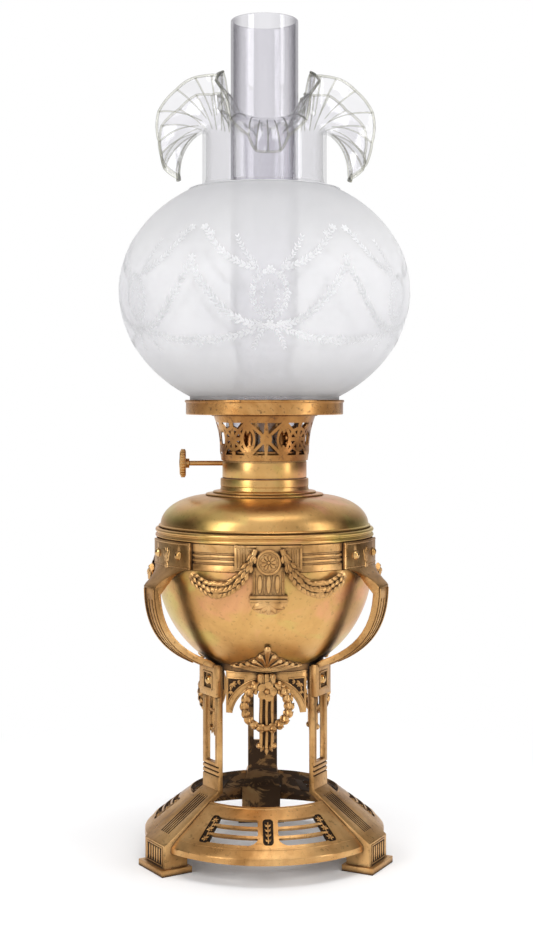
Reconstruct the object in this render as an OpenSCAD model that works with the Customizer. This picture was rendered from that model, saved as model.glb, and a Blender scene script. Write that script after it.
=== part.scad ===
// Kerosene table lamp: a spun brass bowl on three cast legs, with a drop-in
// font, a round-wick burner, a chimney and a ruffled globe shade.
// Millimetres, +Z up, origin on the table under the lamp's axis, front at -Y.

/* [Fits] */
// Gap between pieces that are fixed together
seat = 0.1; // [0.05:0.05:0.2]
// Gap between pieces that turn, lift or slide past each other
slip = 0.3; // [0.2:0.05:0.4]
// Gap between the plain cylinders that stand for the burner's screw thread
thread_gap = 1.2; // [0.8:0.1:1.5]
// Thickness of the spun brass sheet
sheet = 1.2; // [0.8:0.1:1.5]
// Radius of the screws and studs
screw_r = 1.3; // [1.1:0.1:1.5]

/* [Feet] */
// Width of the plinth under a foot
plinth_w = 33; // [30:1:36]
// Height of the plinth
plinth_h = 4.2; // [3:0.2:6]
// Distance from the axis to the plinth's outer face
plinth_r = 87.5; // [86:0.5:95]
// Width of the foot block
foot_w = 27.5; // [24:0.5:29]
// Distance from the axis to the foot block's outer face
foot_r = 84; // [82:0.5:85]
// Length of the foot block along the radius
foot_l = 16.5; // [14:0.5:20]
// Height of the foot block at its outer face
foot_h = 19; // [17:0.5:21]

/* [Legs] */
// Width of the leg's column
leg_w = 20.5; // [18:0.5:21]
// Thickness of the leg's column and plate
leg_t = 3.6; // [3:0.1:5]
// Distance from the axis to the column's outer face
leg_r = 42.4; // [41.5:0.1:44]
// Height of the knee where the column meets the plate
knee_z = 48; // [46:0.5:50]
// Height of the top of the legs
leg_top = 131; // [128:1:150]
// Width of the slot in the column
slot_w = 12.4; // [8:0.4:14]
// Height at which the slot starts
slot_low = 66; // [62:1:72]
// Depth of the carved lines on legs, bands and bars
carve = 0.8; // [0.4:0.1:1]

/* [Base ring] */
// Inner radius of the sloping ring
base_in_r = 50; // [48:0.5:52]
// Radius at which the ring turns down
base_out_r = 80; // [78:0.5:81]
// Height of the ring's lower edge
base_low = 14; // [12:0.5:15]
// Thickness of the ring
base_t = 2.6; // [2.2:0.1:4]
// Inner radius of the windows
window_in_r = 58.3; // [56:0.1:59]
// Outer radius of the windows
window_out_r = 73.9; // [72:0.1:75]
// Width of the bars across a window
bar_w = 1.5; // [1.2:0.1:3]
// Width of the post between the two windows of a segment
post_w = 13; // [11:0.5:15]
// Half of the angle that the windows of a segment span
window_half = 31.5; // [26:0.5:34]

/* [Arms] */
// Width of the arm's strap and pad neck
arm_w = 15.6; // [13:0.2:18]
// Thickness of the arm's strap
arm_t = 4; // [3:0.1:4.4]
// How far the elbow stands out past the bowl's widest line
elbow_out = 15; // [13:0.5:19]
// Height of the elbow below the bowl's widest line
elbow_drop = 10; // [8:0.5:12]
// Half of the angle that the top plate spans
plate_half = 18.6; // [17:0.2:20]
// Thickness of the top plate
plate_t = 3.9; // [3.4:0.1:4.4]
// Width of the pad that laps over the leg
pad_w = 22; // [21:0.5:24]
// Thickness of the pad
pad_t = 3.6; // [3.2:0.1:4]
// Height of the pad
pad_h = 21; // [19:0.5:23]
// Width of the square recess round the pad's stud
recess_w = 9.5; // [8:0.5:11]
// Angle from the arm's middle to each of its studs
stud_half = 10.4; // [9:0.2:12]

/* [Bowl] */
// Radius of the bowl at its widest line
bowl_r = 73; // [72:0.5:75]
// Depth of the bowl's curve below its widest line
bowl_h = 75.4; // [70:0.5:80]
// Height from the widest line to the top of the lip
bowl_side = 25.3; // [24:0.5:30]
// How far the rolled lip stands out past the bowl's widest line
lip_out = 1; // [0.5:0.1:2]
// Height of the rolled lip
lip_h = 6.3; // [5:0.1:7]
// Thickness of the reeded frieze band
frieze_t = 1.6; // [1.4:0.1:2]
// Outer radius of the support ring under the bowl
ring_r = 40.1; // [39:0.1:41]
// Inner radius of the support ring
ring_in_r = 36; // [35.5:0.1:37]

/* [Ornament] */
// Distance from the axis to the middle of an arch bracket's face
arch_r = 36.7; // [36:0.1:38]
// Radius that an arch bracket is bent to
arch_bend = 60; // [50:1:80]
// Width of an arch bracket
arch_w = 53; // [48:0.5:54]
// Height of an arch bracket
arch_h = 28; // [25:0.5:30]
// Thickness of an arch bracket
arch_t = 2.6; // [2:0.1:3]
// Radius of the arch's opening
arch_hole_r = 22.5; // [21:0.5:24]
// Height of the metal left above that opening
arch_crown = 8.8; // [6:0.2:10]
// Radius of the wreath at the middle of its roll
wreath_r = 14.4; // [13:0.2:16]
// Radius of the wreath's roll
wreath_t = 3.1; // [2.8:0.1:3.5]
// Length of the ribbons below the rosette
ribbon_l = 44; // [36:1:46]
// Height of the palmette
palmette_h = 19.4; // [17:0.2:21]
// Thickness of the palmette
palmette_t = 2.6; // [2.2:0.1:3]
// Half width of the cartouche's plaque
plaque_half = 21.5; // [19:0.5:24]
// Radius of the cartouche's round boss
boss_r = 8; // [7:0.5:8.5]
// Width of the cartouche's tongue
tongue_w = 20.2; // [18:0.2:22]
// Length of the cartouche below the frieze
tongue_l = 27; // [25:0.5:29]
// Half width of a garland at its lowest point
garland_w = 4.9; // [4:0.1:5.2]
// Thickness of a garland
garland_t = 4; // [3:0.1:4.4]

/* [Font] */
// How far the tank's shoulder stays inside the bowl's widest line
shoulder_inset = 2.5; // [2:0.1:3.5]
// Height of the domed shoulder
dome_h = 19.5; // [17:0.5:22]
// Width of the shoulder's round
dome_round = 32.5; // [28:0.5:34]
// How far the tank's body stays inside the bowl's widest line
body_inset = 7; // [6.5:0.5:9]
// Depth of the tank below the bowl's widest line
body_h = 57; // [50:1:60]
// Outer radius of the screw collar
collar_r = 29.9; // [29.2:0.1:31]
// Height of the screw collar above the dome
collar_h = 11.4; // [10:0.2:14]
// Radius of the collar's flange
flange_r = 40; // [38:0.5:42]

/* [Burner] */
// Outer radius of the burner cup
burner_r = 28.6; // [28.2:0.1:29.2]
// Height of the burner cup
burner_h = 10.2; // [9.6:0.2:12]
// Length of the burner's screw thread below the cup
thread_l = 9; // [8:0.5:10]
// Thickness of the sealing washer
washer_t = 0.6; // [0.4:0.1:1]
// Outer radius of the wick tube
tube_r = 14.5; // [14:0.1:15]
// Wall of the burner's tubes
tube_wall = 0.6; // [0.5:0.1:0.8]
// Thickness of the wick
wick_t = 1.9; // [1.6:0.1:2.1]
// Height of the wick tube above the cup's floor
tube_h = 46; // [44:0.5:48]
// Radius of the toothed wick wheels
wheel_r = 3; // [2.6:0.1:3.2]
// Distance from the axis to the knob's outer face
knob_x = 57.5; // [52:0.5:62]
// Radius of the knob
knob_r = 9.8; // [8.5:0.1:11]
// Thickness of the knob
knob_t = 3.8; // [3:0.1:5]
// Radius of the wick spindle
spindle_r = 1.7; // [1.5:0.1:1.9]

/* [Gallery] */
// Radius of the basket at its foot
basket_r = 28.6; // [28.4:0.1:29.4]
// Radius of the basket at its mouth
mouth_r = 34; // [33:0.5:36]
// Height of the basket
basket_h = 30.5; // [29:0.5:32]
// Wall of the basket
basket_wall = 0.8; // [0.7:0.1:1]
// Outer radius of the shade ring
shade_ring_r = 53.4; // [53:0.1:56]
// Height of the shade ring
shade_ring_h = 10.1; // [8:0.1:12]

/* [Glass] */
// Wall of the chimney
chimney_wall = 1.8; // [1.4:0.1:2]
// Outer radius of the chimney's tube
chimney_r = 23; // [22:0.5:25]
// Outer radius of the chimney's foot
chimney_foot_r = 26; // [25.5:0.1:26.4]
// Length of the chimney
chimney_l = 292; // [260:2:300]
// Outer radius of the chimney's pinch
pinch_r = 18.5; // [17.5:0.1:20]
// Wall of the shade
shade_wall = 2.5; // [2:0.1:3]
// Outer radius of the shade at its widest line
shade_r = 98.8; // [92:0.2:102]
// Height of the shade's curve below its widest line
shade_low = 83; // [78:1:88]
// Height of the shade's curve above its widest line
shade_high = 80; // [75:1:85]
// Outer radius of the shade's foot
shade_foot_r = 50.7; // [50:0.1:51.2]
// Outer radius of the shade's clear neck
shade_neck_r = 42.3; // [40:0.1:44]
// Height of the clear neck above the globe
shade_neck_h = 35.5; // [32:0.5:40]
// Length of the ruffle along the glass
ruffle_l = 34; // [30:1:36]

/* [Hidden] */
$fn = 72;
far = 200;
leg_turns = [90, 210, 330];
bay_turns = [270, 30, 150];

// Feet and legs
leg_in = leg_r - leg_t;
foot_in = foot_r - foot_l;
plinth_in = foot_in - 2;
plate_slope = (knee_z - foot_h) / (foot_r - leg_r);
plate_angle = atan(plate_slope);
plate_drop = leg_t / cos(plate_angle);
pad_low = leg_top - pad_h;
lap_t = 2;
lap_r = leg_in + lap_t;
pad_in = lap_r + seat;
pad_out = pad_in + pad_t;
stud_z = pad_low + 0.48 * pad_h;
recess_deep = 1.2;

// Base ring
base_slope = 0.739;
base_top = knee_z - 5.4;
base_mid_r = base_out_r - 12;
base_mid_z = base_at(base_mid_r);
base_edge_z = base_mid_z - 10.7;

// Support ring, arches and bowl
arch_top = leg_top - 3;
arch_hole_z = arch_top - arch_crown - arch_hole_r;
ring_top = leg_top + 1;
ring_low = arch_top + seat;
lug_low = stud_z - 6;
bowl_z = ring_top + seat + bowl_h * sqrt(1 - pow(ring_r / bowl_r, 2));
bowl_low = bowl_z - 0.975 * bowl_h;
band_low = bowl_z + 1.5;
wall_r = bowl_r - 1.5;
lip_r = bowl_r + lip_out;
band_r = wall_r + seat + frieze_t;
lip_top = bowl_z + bowl_side;
lip_low = lip_top - lip_h;
band_top = lip_low - seat;
plate_in = wall_r + seat;
plate_r = plate_in + plate_t;
plate_low = band_low + 0.5;
arm_stud_z = (band_low + band_top) / 2;
elbow_z = bowl_z - elbow_drop;
elbow_r = bowl_r + elbow_out;

// Font
tank_z = lip_top + slip;
tank_r = bowl_r - shoulder_inset;
body_r = bowl_r - body_inset;
bead_t = 1.4;
tank_base_z = tank_z + bead_t;
tank_edge = 0.6;
tank_wall = sheet - 0.2;
dome_top = tank_base_z + dome_h;
tank_low = bowl_z - body_h;
collar_in = collar_r - 2.9;
flange_t = 1.4;
flange_top = dome_top + seat + 2 * flange_t;
collar_top = dome_top + seat + collar_h;

// Burner
cup_z = collar_top + washer_t + 2 * seat;
cup_top = cup_z + burner_h;
floor_t = 1.2;
floor_top = cup_z + floor_t;
cup_in = burner_r - 1;
thread_r = collar_in - thread_gap;
tube_in = tube_r - tube_wall;
wick_out = tube_in - 0.2;
wick_in = wick_out - wick_t;
draught_r = wick_in - 0.2;
tube_top = floor_top + tube_h;
wheel_y = wick_out + slip + wheel_r;
wheel_gap = 5;
wheel_t = 2;
spindle_z = cup_top - 1.7;
spindle_end = sqrt(pow(cup_in, 2) - pow(wheel_y + spindle_r, 2)) - slip;
duct_w = 7;
duct_low = floor_top + 2.8;
duct_h = 6;
wick_gap = 40;
tail_w = 13;
tail_low = tank_low + 14;

// Gallery
plate_top = cup_top + seat + 1;
basket_z = plate_top + slip;
basket_top = basket_z + basket_h;
shelf_z = basket_z + 4.9;
shelf_t = 1.2;
ring_floor_z = basket_top + seat;
ring_floor_t = 1.5;
ring_wall = 1.5;
shade_ring_top = ring_floor_z + shade_ring_h;

// Glass
chimney_z = shelf_z + shelf_t + slip;
chimney_top = chimney_z + chimney_l;
pinch_z = chimney_z + 56;
shade_z = ring_floor_z + ring_floor_t + slip;
globe_z = shade_z + 10.5 + shade_low * sqrt(1 - pow(shade_foot_r / shade_r, 2));
neck_z = globe_z + shade_high * sqrt(1 - pow(shade_neck_r / shade_r, 2));
neck_top = neck_z + shade_neck_h;

// Points on an ellipse's arc, from angle a0 to angle a1 in n steps
function arc(cx, cz, rx, rz, a0, a1, n) =
    [for (i = [0:n]) let (a = a0 + (a1 - a0) * i / n) [cx + rx * cos(a), cz + rz * sin(a)]];
// Point on a cubic curve through four control points
function bezier(p, t) = pow(1 - t, 3) * p[0] + 3 * t * pow(1 - t, 2) * p[1]
    + 3 * t * t * (1 - t) * p[2] + pow(t, 3) * p[3];
// Unit normal of that curve, on its inner side
function bezier_normal(p, t) =
    let (d = bezier(p, t + 0.001) - bezier(p, t - 0.001))
    [d[1], -d[0]] / norm(d);
// Height of the base ring's upper face at a radius
function base_at(r) = base_top - base_slope * (r - base_in_r);
// Radius of the bowl's outer face at a height below the lip
function bowl_at(z) =
    z > bowl_z ? bowl_r : bowl_r * sqrt(max(0, 1 - pow((bowl_z - z) / bowl_h, 2)));
// Height of the bowl's outer face at a radius
function bowl_under(r) = bowl_z - bowl_h * sqrt(1 - pow(r / bowl_r, 2));
// Height of a foot plate's lower face at a radius
function plate_under(r) = knee_z + (leg_r - r) * plate_slope - plate_drop;

module at_leg(i) {
    rotate([0, 0, leg_turns[i]]) children();
}
module at_bay(i) {
    rotate([0, 0, bay_turns[i]]) children();
}
// Extrudes an outline drawn in radius and height, w wide across the radius
module across(w) {
    rotate([90, 0, 0]) linear_extrude(height = w, center = true) children();
}
// Extrudes an outline drawn in side distance and height, outwards from r0 to r1
module outwards(r0, r1) {
    translate([r0, 0, 0]) rotate([90, 0, 90]) linear_extrude(height = r1 - r0) children();
}
// Turns an outline drawn in radius and height round the axis, a degrees each way
module sector(a) {
    rotate_extrude(angle = 2 * a, start = -a) children();
}
module rod_x(x0, x1, r) {
    translate([x0, 0, 0]) rotate([0, 90, 0]) cylinder(r = r, h = x1 - x0);
}

// One foot seen from above, grown by g
module foot_plan(g) {
    polygon([
        [0, leg_w / 2 + g], [leg_r, leg_w / 2 + g], [foot_in, foot_w / 2 + g], [foot_r + g, foot_w / 2 + g],
        [foot_r + g, -foot_w / 2 - g], [foot_in, -foot_w / 2 - g], [leg_r, -leg_w / 2 - g],
        [0, -leg_w / 2 - g]
    ]);
}
module leg_side() {
    polygon([
        [leg_in, leg_top - 1], [lap_r, leg_top - 1], [lap_r, pad_low - seat], [leg_r, pad_low - seat],
        [leg_r, knee_z], [foot_r, foot_h], [foot_r, plinth_h - 1], [foot_in, plinth_h - 1],
        [foot_in, plate_under(foot_in)], [leg_in, plate_under(leg_in)]
    ]);
}
module leg() {
    flute_l = (foot_in - leg_r) / cos(plate_angle) - 6;
    color("goldenrod") difference() {
        union() {
            intersection() {
                across(plinth_w) leg_side();
                linear_extrude(height = leg_top) foot_plan(0);
            }
            translate([plinth_in, -plinth_w / 2, 0]) cube([plinth_r - plinth_in, plinth_w, plinth_h]);
        }
        translate([leg_in - 1, -slot_w / 2, slot_low]) cube([leg_t + 2, slot_w, pad_low - slot_low - seat]);
        translate([0, 0, stud_z]) rod_x(leg_in - 1, leg_r + 1, screw_r + seat);
        for (z = [slot_low - 3, slot_low - 6, slot_low - 9])
            translate([leg_r - carve, -leg_w, z]) cube([carve + 1, 2 * leg_w, carve]);
        for (i = [-2:2])
            translate([leg_r, i * 2.3, knee_z]) rotate([0, plate_angle, 0])
                translate([6, -0.5, -carve]) cube([flute_l, 1, carve + 1]);
    }
}

// The arm's curve, from the elbow to the pad
arm_curve = [
    [elbow_r, elbow_z], [elbow_r, elbow_z - 27], [elbow_r - 11, leg_top + 9.5], [pad_out, leg_top - 2]
];
module arm_strap_side() {
    outer = [for (t = [0:0.08:0.96]) bezier(arm_curve, t)];
    inner = [for (t = [0.96:-0.08:0]) bezier(arm_curve, t) + arm_t * bezier_normal(arm_curve, t)];
    polygon(concat(outer, [arm_curve[3]], [[pad_out - 2.5, leg_top]], inner));
}
module arm_top_side() {
    polygon([
        [plate_in, band_top], [plate_r, band_top], [plate_r, plate_low], [plate_r + 3.5, plate_low - 4],
        [elbow_r - 1.5, elbow_z + 1.8], [elbow_r, elbow_z + 0.2], [elbow_r - 0.1, elbow_z - 4.6],
        [elbow_r - arm_t - 0.1, elbow_z - 4.6], [elbow_r - arm_t - 6, elbow_z + 2.5],
        [bowl_r + 0.8, plate_low], [plate_in, plate_low]
    ]);
}
// The arm's top seen from outside: the plate, drawn in to the strap's width
module arm_top_front() {
    half = plate_r * sin(plate_half) + 1;
    right = [for (i = [0:6]) let (a = i * 15)
        [arm_w / 2 + (half - arm_w / 2) * (1 - sin(a)), plate_low - (plate_low - elbow_z) * (1 - cos(a))]];
    left = [for (i = [6:-1:0]) [-right[i][0], right[i][1]]];
    polygon(concat([[half, band_top + 1]], right, [[arm_w / 2, elbow_z - 6], [-arm_w / 2, elbow_z - 6]],
        left, [[-half, band_top + 1]]));
}
module arm() {
    color("darkgoldenrod") difference() {
        union() {
            intersection() {
                sector(plate_half) arm_top_side();
                outwards(0, elbow_r + 5) arm_top_front();
            }
            across(arm_w) arm_strap_side();
            translate([pad_in, -pad_w / 2, pad_low]) cube([pad_t, pad_w, pad_h]);
        }
        translate([pad_out - recess_deep, -recess_w / 2, stud_z - recess_w / 2])
            cube([recess_deep + 1, recess_w, recess_w]);
        translate([0, 0, stud_z]) rod_x(pad_in - 1, pad_out + 1, screw_r + seat);
        for (a = [-stud_half, stud_half])
            rotate([0, 0, a]) translate([0, 0, arm_stud_z]) rod_x(plate_in - 2, plate_r + 1, screw_r + seat);
    }
}

module base_section() {
    polygon([
        [base_in_r, base_top], [base_mid_r, base_mid_z], [base_mid_r + 7, base_mid_z - 5.6],
        [base_out_r, base_edge_z], [base_out_r + 0.9, base_edge_z - 1], [base_out_r + 1, base_low],
        [base_out_r - base_t + 0.7, base_low], [base_out_r - base_t + 0.4, base_edge_z - 0.85 * base_t],
        [base_mid_r + 6.5, base_mid_z - 5.6 - 1.3 * base_t], [base_mid_r - 0.4, base_mid_z - 1.25 * base_t],
        [base_in_r - 0.6, base_top - base_t * 1.1], [base_in_r - 0.8, base_top - 0.9]
    ]);
}
// Outline of a window's cut, square to the slope, from radius r0 to r1 on its face
module window_section(r0, r1) {
    deep = 2 * base_t;
    shift = base_slope * deep;
    polygon([
        [r0 + shift, base_at(r0) + deep], [r1 + shift, base_at(r1) + deep],
        [r1 - shift, base_at(r1) - deep], [r0 - shift, base_at(r0) - deep]
    ]);
}
module base_segment() {
    row = (window_out_r - window_in_r - 2 * bar_w) / 3;
    color("goldenrod") difference() {
        sector(59) base_section();
        for (a = [-60, 60])
            rotate([0, 0, a]) linear_extrude(height = leg_top) foot_plan(seat);
        for (s = [-1, 1])
            for (i = [0:2]) {
                r0 = window_in_r + i * (row + bar_w);
                from = asin((post_w / 2 + (i == 2 ? 2.5 : 0)) / r0);
                rotate([0, 0, s * (from + window_half) / 2])
                    sector((window_half - from) / 2) window_section(r0, r0 + row);
            }
    }
}

module arch() {
    color("goldenrod") difference() {
        translate([arch_r - arch_bend, 0, 0]) sector(asin(arch_w / 2 / arch_bend))
            translate([arch_bend - arch_t, arch_top - arch_h]) square([arch_t, arch_h]);
        translate([0, 0, arch_hole_z]) rod_x(0, arch_bend, arch_hole_r);
    }
}
module wreath() {
    back = arch_r + seat;
    roll_x = back + 0.1 + wreath_t;
    rosette_z = arch_top - 10.4;
    wreath_z = rosette_z - wreath_r + 2.8;
    color("darkgoldenrod") union() {
        translate([roll_x, 0, wreath_z]) rotate([0, 90, 0])
            rotate_extrude() translate([wreath_r, 0]) circle(r = wreath_t, $fn = 24);
        translate([back, -5.7, arch_top - 5.4]) cube([4.6, 11.4, 5.4 - seat]);
        translate([0, 0, rosette_z]) rod_x(back + 0.7, back + 6.2, 5.2);
        translate([0, 0, rosette_z]) rod_x(back + 1, back + 7.4, 2);
        for (i = [-1:1])
            translate([back + 1.6, i * 3.5 - 1.45, rosette_z - ribbon_l + 2 * abs(i)])
                cube([2.6 - 0.5 * abs(i), 2.9, ribbon_l - 2 * abs(i)]);
        translate([back + 1.4, -4, rosette_z - ribbon_l + 14]) cube([1.6, 8, ribbon_l - 16]);
        for (s = [-1, 1])
            translate([back + 2.6, s * 5, rosette_z - ribbon_l + 6]) sphere(r = 2.2, $fn = 24);
    }
}

// The palmette's outline, seen from outside: a peak with four lobes on each side
module palmette_outline() {
    low = arch_top + 0.2;
    half = 23.5;
    side = palmette_h * 0.38;
    pts = [for (i = [-36:36]) let (y = half * i / 36)
        [y, low + side * (1 - 0.45 * abs(i) / 36) + (palmette_h - side) * exp(-abs(y) / 8.5)
            - 0.9 * (1 - abs(cos(i * 22.5)))]];
    polygon(concat([[half, low]], [for (i = [72:-1:0]) pts[i]], [[-half, low]]));
}
module palmette() {
    low = arch_top + 0.2;
    back = [for (i = [0:8]) let (z = low + i * palmette_h / 8) [max(ring_r + seat, bowl_at(z) + 0.5), z]];
    front = [for (i = [8:-1:0]) back[i] + [palmette_t, 0]];
    color("goldenrod") intersection() {
        sector(45) polygon(concat(back, front));
        outwards(20, bowl_r) palmette_outline();
    }
}
module support_ring() {
    color("peru") difference() {
        union() {
            rotate_extrude() polygon([
                [ring_in_r, ring_low], [ring_r, ring_low], [ring_r, bowl_under(ring_r) - seat],
                [(ring_r + ring_in_r) / 2, bowl_under((ring_r + ring_in_r) / 2) - 2 * seat],
                [ring_in_r, bowl_under(ring_in_r) - 2 * seat]
            ]);
            for (i = [0:2])
                at_leg(i) translate([ring_in_r + 0.3, -8, lug_low])
                    cube([leg_in - seat - ring_in_r - 0.3, 16, ring_low + 0.7 - lug_low]);
        }
        for (i = [0:2])
            at_leg(i) {
                translate([leg_in - seat, -pad_w / 2 - slip, lug_low - 1]) cube([20, pad_w + 2 * slip, 40]);
                translate([0, 0, stud_z]) rod_x(ring_in_r - 5, leg_in + 1, screw_r + seat);
            }
    }
}
// A stud along the radius, with a domed head that stands on the face at seat_x
module dome_stud(seat_x, end_x, head_r) {
    rod_x(end_x, seat_x + 0.5, screw_r);
    translate([seat_x + seat, 0, 0]) rotate([0, 90, 0])
        rotate_extrude() polygon(concat([[0, 0]], arc(0, 0, head_r, head_r * 0.7, 0, 90, 6)));
}
module round_nut(x0, x1, r) {
    difference() {
        translate([x0, 0, 0]) rotate([0, 90, 0]) cylinder(r = r, h = x1 - x0, $fn = 6);
        rod_x(x0 - 1, x1 + 1, screw_r + seat);
    }
}
module leg_studs() {
    color("gold") for (i = [0:2])
        at_leg(i) translate([0, 0, stud_z]) dome_stud(pad_out - recess_deep, ring_in_r - 2.6, 3.2);
}
module leg_nuts() {
    color("gold") for (i = [0:2])
        at_leg(i) translate([0, 0, stud_z]) round_nut(ring_in_r - 2.3, ring_in_r + 0.2, 3.3);
}
module arm_studs() {
    color("gold") for (i = [0:2])
        for (a = [-stud_half, stud_half])
            at_leg(i) rotate([0, 0, a]) translate([0, 0, arm_stud_z])
                dome_stud(plate_r, wall_r - sheet - 2.2, 2.6);
}
module arm_nuts() {
    color("gold") for (i = [0:2])
        for (a = [-stud_half, stud_half])
            at_leg(i) rotate([0, 0, a]) translate([0, 0, arm_stud_z])
                round_nut(wall_r - sheet - 2.1, wall_r - sheet - seat - 0.1, 2.8);
}

bowl_start = asin((bowl_z - bowl_low) / bowl_h);
bowl_in_start = asin((bowl_z - bowl_low - sheet) / (bowl_h - sheet));
module bowl() {
    color("goldenrod") difference() {
        rotate_extrude() polygon(concat(
            [[0, bowl_low]], arc(0, bowl_z, bowl_r, bowl_h, -bowl_start, 0, 20),
            [[bowl_r, band_low - seat], [wall_r, band_low - seat], [wall_r, lip_top - sheet - seat],
             [wall_r - sheet, lip_top - sheet - seat], [wall_r - sheet, band_low - sheet]],
            arc(0, bowl_z, bowl_r - sheet, bowl_h - sheet, 0, -bowl_in_start, 20), [[0, bowl_low + sheet]]
        ));
        for (i = [0:2])
            for (a = [-stud_half, stud_half])
                at_leg(i) rotate([0, 0, a]) translate([0, 0, arm_stud_z])
                    rod_x(wall_r - 5, wall_r + 5, screw_r + seat);
    }
}
module bowl_lip() {
    in = wall_r + seat;
    color("goldenrod") rotate_extrude() polygon([
        [in, lip_low], [lip_r - 0.4, lip_low], [lip_r, lip_low + 0.5], [lip_r, lip_low + lip_h * 0.45],
        [lip_r - 0.5, lip_low + lip_h * 0.5], [lip_r, lip_low + lip_h * 0.55], [lip_r, lip_top - 0.6],
        [lip_r - 0.6, lip_top], [wall_r - sheet, lip_top], [wall_r - sheet, lip_top - sheet],
        [in, lip_top - sheet]
    ]);
}
module frieze() {
    h = band_top - band_low;
    in = wall_r + seat;
    deep = band_r - carve;
    color("darkgoldenrod") sector(60 - plate_half - 0.25) polygon(concat(
        [[in, band_low], [band_r, band_low]],
        [for (i = [0:2], p = [[band_r, 0], [deep, 0.02], [deep, 0.07], [band_r, 0.09]])
            [p[0], band_low + h * (0.25 + 0.18 * i + p[1])]],
        [[band_r, band_top], [in, band_top]]
    ));
}

// The space of the bowl and its frieze, grown by the seat
module bowl_space() {
    rotate_extrude() polygon(concat(
        [[0, bowl_low]], arc(0, bowl_z, bowl_r + seat, bowl_h + seat, -bowl_start, 0, 20),
        [[bowl_r + seat, band_low - seat], [band_r + seat, band_low - seat], [band_r + seat, lip_low - seat],
         [lip_r + 4, lip_low - seat], [lip_r + 4, lip_top], [0, lip_top]]
    ));
}
module cartouche() {
    $fn = 240;
    face = band_r + 1.5;
    angle = asin(plaque_half / face);
    boss_z = band_top - boss_r - 2.4;
    tip_z = band_low - tongue_l;
    cap_z = band_low - tongue_l * 0.52;
    lean = 4.2;
    color("darkgoldenrod") difference() {
        union() {
            sector(angle) translate([band_r, band_low + 1]) square([1.5, band_top - band_low - 1]);
            translate([0, 0, boss_z]) rod_x(band_r - 3, face + 2.4, boss_r);
            intersection() {
                across(tongue_w + 6) polygon([
                    [bowl_r - 9, band_low + 4], [face + 0.6, band_low + 4], [face + 0.6, band_low],
                    [face + 0.6 - lean * 0.45, cap_z], [face + 1.6 - lean * 0.45, cap_z],
                    [face + 1.6 - lean * 0.6, cap_z - 5.4], [face - lean, tip_z], [bowl_r - 9, tip_z]
                ]);
                outwards(40, face + 6) union() {
                    translate([-tongue_w / 2, cap_z - 1]) square([tongue_w, band_low + 4 - cap_z + 1]);
                    translate([-tongue_w / 2 - 2, cap_z - 5.4]) square([tongue_w + 4, 5.4]);
                    polygon(concat([[tongue_w / 2 + 1, cap_z - 5]], [for (i = [0:40]) let (a = -i * 4.5)
                        [(tongue_w / 2 + 1) * cos(a), cap_z - 5 + (cap_z - 5 - tip_z) * sin(a)
                            * (1 - 0.07 * (1 - abs(cos(2.5 * a))))]]));
                }
            }
        }
        bowl_space();
    }
}

// A garland runs over frieze and bowl, from the arm's plate down and up to the boss
garland_rings = 16;
garland_dip = 0.4;
garland_low = band_low - 10.8;
function garland_side(t) = 46.5 - 38.5 * t;
function garland_z(t) =
    garland_low + 53 * pow(t - garland_dip, 2) + 7 * pow(max(0, t - garland_dip) / (1 - garland_dip), 5);
function garland_base(z) =
    z > band_low - 1 ? band_r + 1.8 : bowl_at(z) + 0.3 + 1.9 * max(0, (z - band_low + 18) / 17);
function garland_width(t) = 2 + (garland_w - 2) * sin(180 * pow(t, 0.8)) + 1.2 * pow(1 - t, 6);
// Middle of the garland at a share t of its way
function garland_spot(t) =
    let (a = asin(garland_side(t) / bowl_r), z = garland_z(t), r = garland_base(z) + garland_t / 2)
    [r * cos(a), r * sin(a), z];
// One garland as a tube of oval rings across its path
module garland() {
    sides = 8;
    last = garland_rings * sides;
    pts = [for (i = [0:garland_rings], k = [0:sides - 1])
        let (t = i / garland_rings, p = garland_spot(t), d = garland_spot(t + 0.01) - garland_spot(t - 0.01),
             u = d / norm(d), out = [p[0], p[1], 0] / norm([p[0], p[1], 0]), w = cross(u, out),
             a = 360 * k / sides)
        p + garland_width(t) * cos(a) * w / norm(w) + garland_t / 2 * sin(a) * out];
    skin = [for (i = [0:garland_rings - 1], k = [0:sides - 1], h = [0, 1])
        let (j = (k + 1) % sides, q = i * sides)
        h == 0 ? [q + k, q + j, q + sides + j] : [q + k, q + sides + j, q + sides + k]];
    cap_a = [for (k = [sides - 1:-1:0]) k];
    cap_b = [for (k = [0:sides - 1]) last + k];
    polyhedron(points = pts, faces = concat(skin, [cap_a, cap_b]), convexity = 4);
}
module garlands() {
    color("gold") garland();
    color("gold") mirror([0, 1, 0]) garland();
}

dome_in = tank_r - dome_round;
// The tank hangs in the bowl by its turned-out edge
module font_tank() {
    w = tank_wall;
    r = wall_r - sheet - slip;
    edge = [lip_r - 2.8, tank_z];
    outer = concat(
        [[0, tank_low]], arc(0, bowl_z, body_r, body_h + 3, -70, 0, 12),
        [[body_r, band_top - 3], [r, band_top + 2], [r, tank_z], edge, edge + [0, tank_edge]]
    );
    inner = concat(
        [[r - w, tank_z + tank_edge], [r - w, band_top + 1.7], [body_r - w, band_top - 3.3]],
        arc(0, bowl_z, body_r - w, body_h + 3 - w, 0, -70, 12), [[0, tank_low + w]]
    );
    color("goldenrod") rotate_extrude() intersection() {
        polygon(concat(outer, inner));
        translate([0, tank_low]) square([far, far]);
    }
}
module font_shoulder() {
    w = tank_wall;
    low = tank_z + tank_edge + seat;
    color("goldenrod") rotate_extrude() polygon(concat(
        [[collar_in, dome_top]], arc(dome_in, tank_base_z, dome_round, dome_h, 90, 0, 12),
        [[lip_r - 2.2, tank_base_z], [lip_r - 2.2, low], [tank_r - w - 0.6, low]],
        arc(dome_in, tank_base_z, dome_round - w - 0.6, dome_h - w, 0, 90, 12), [[collar_in, dome_top - w]]
    ));
}
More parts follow.
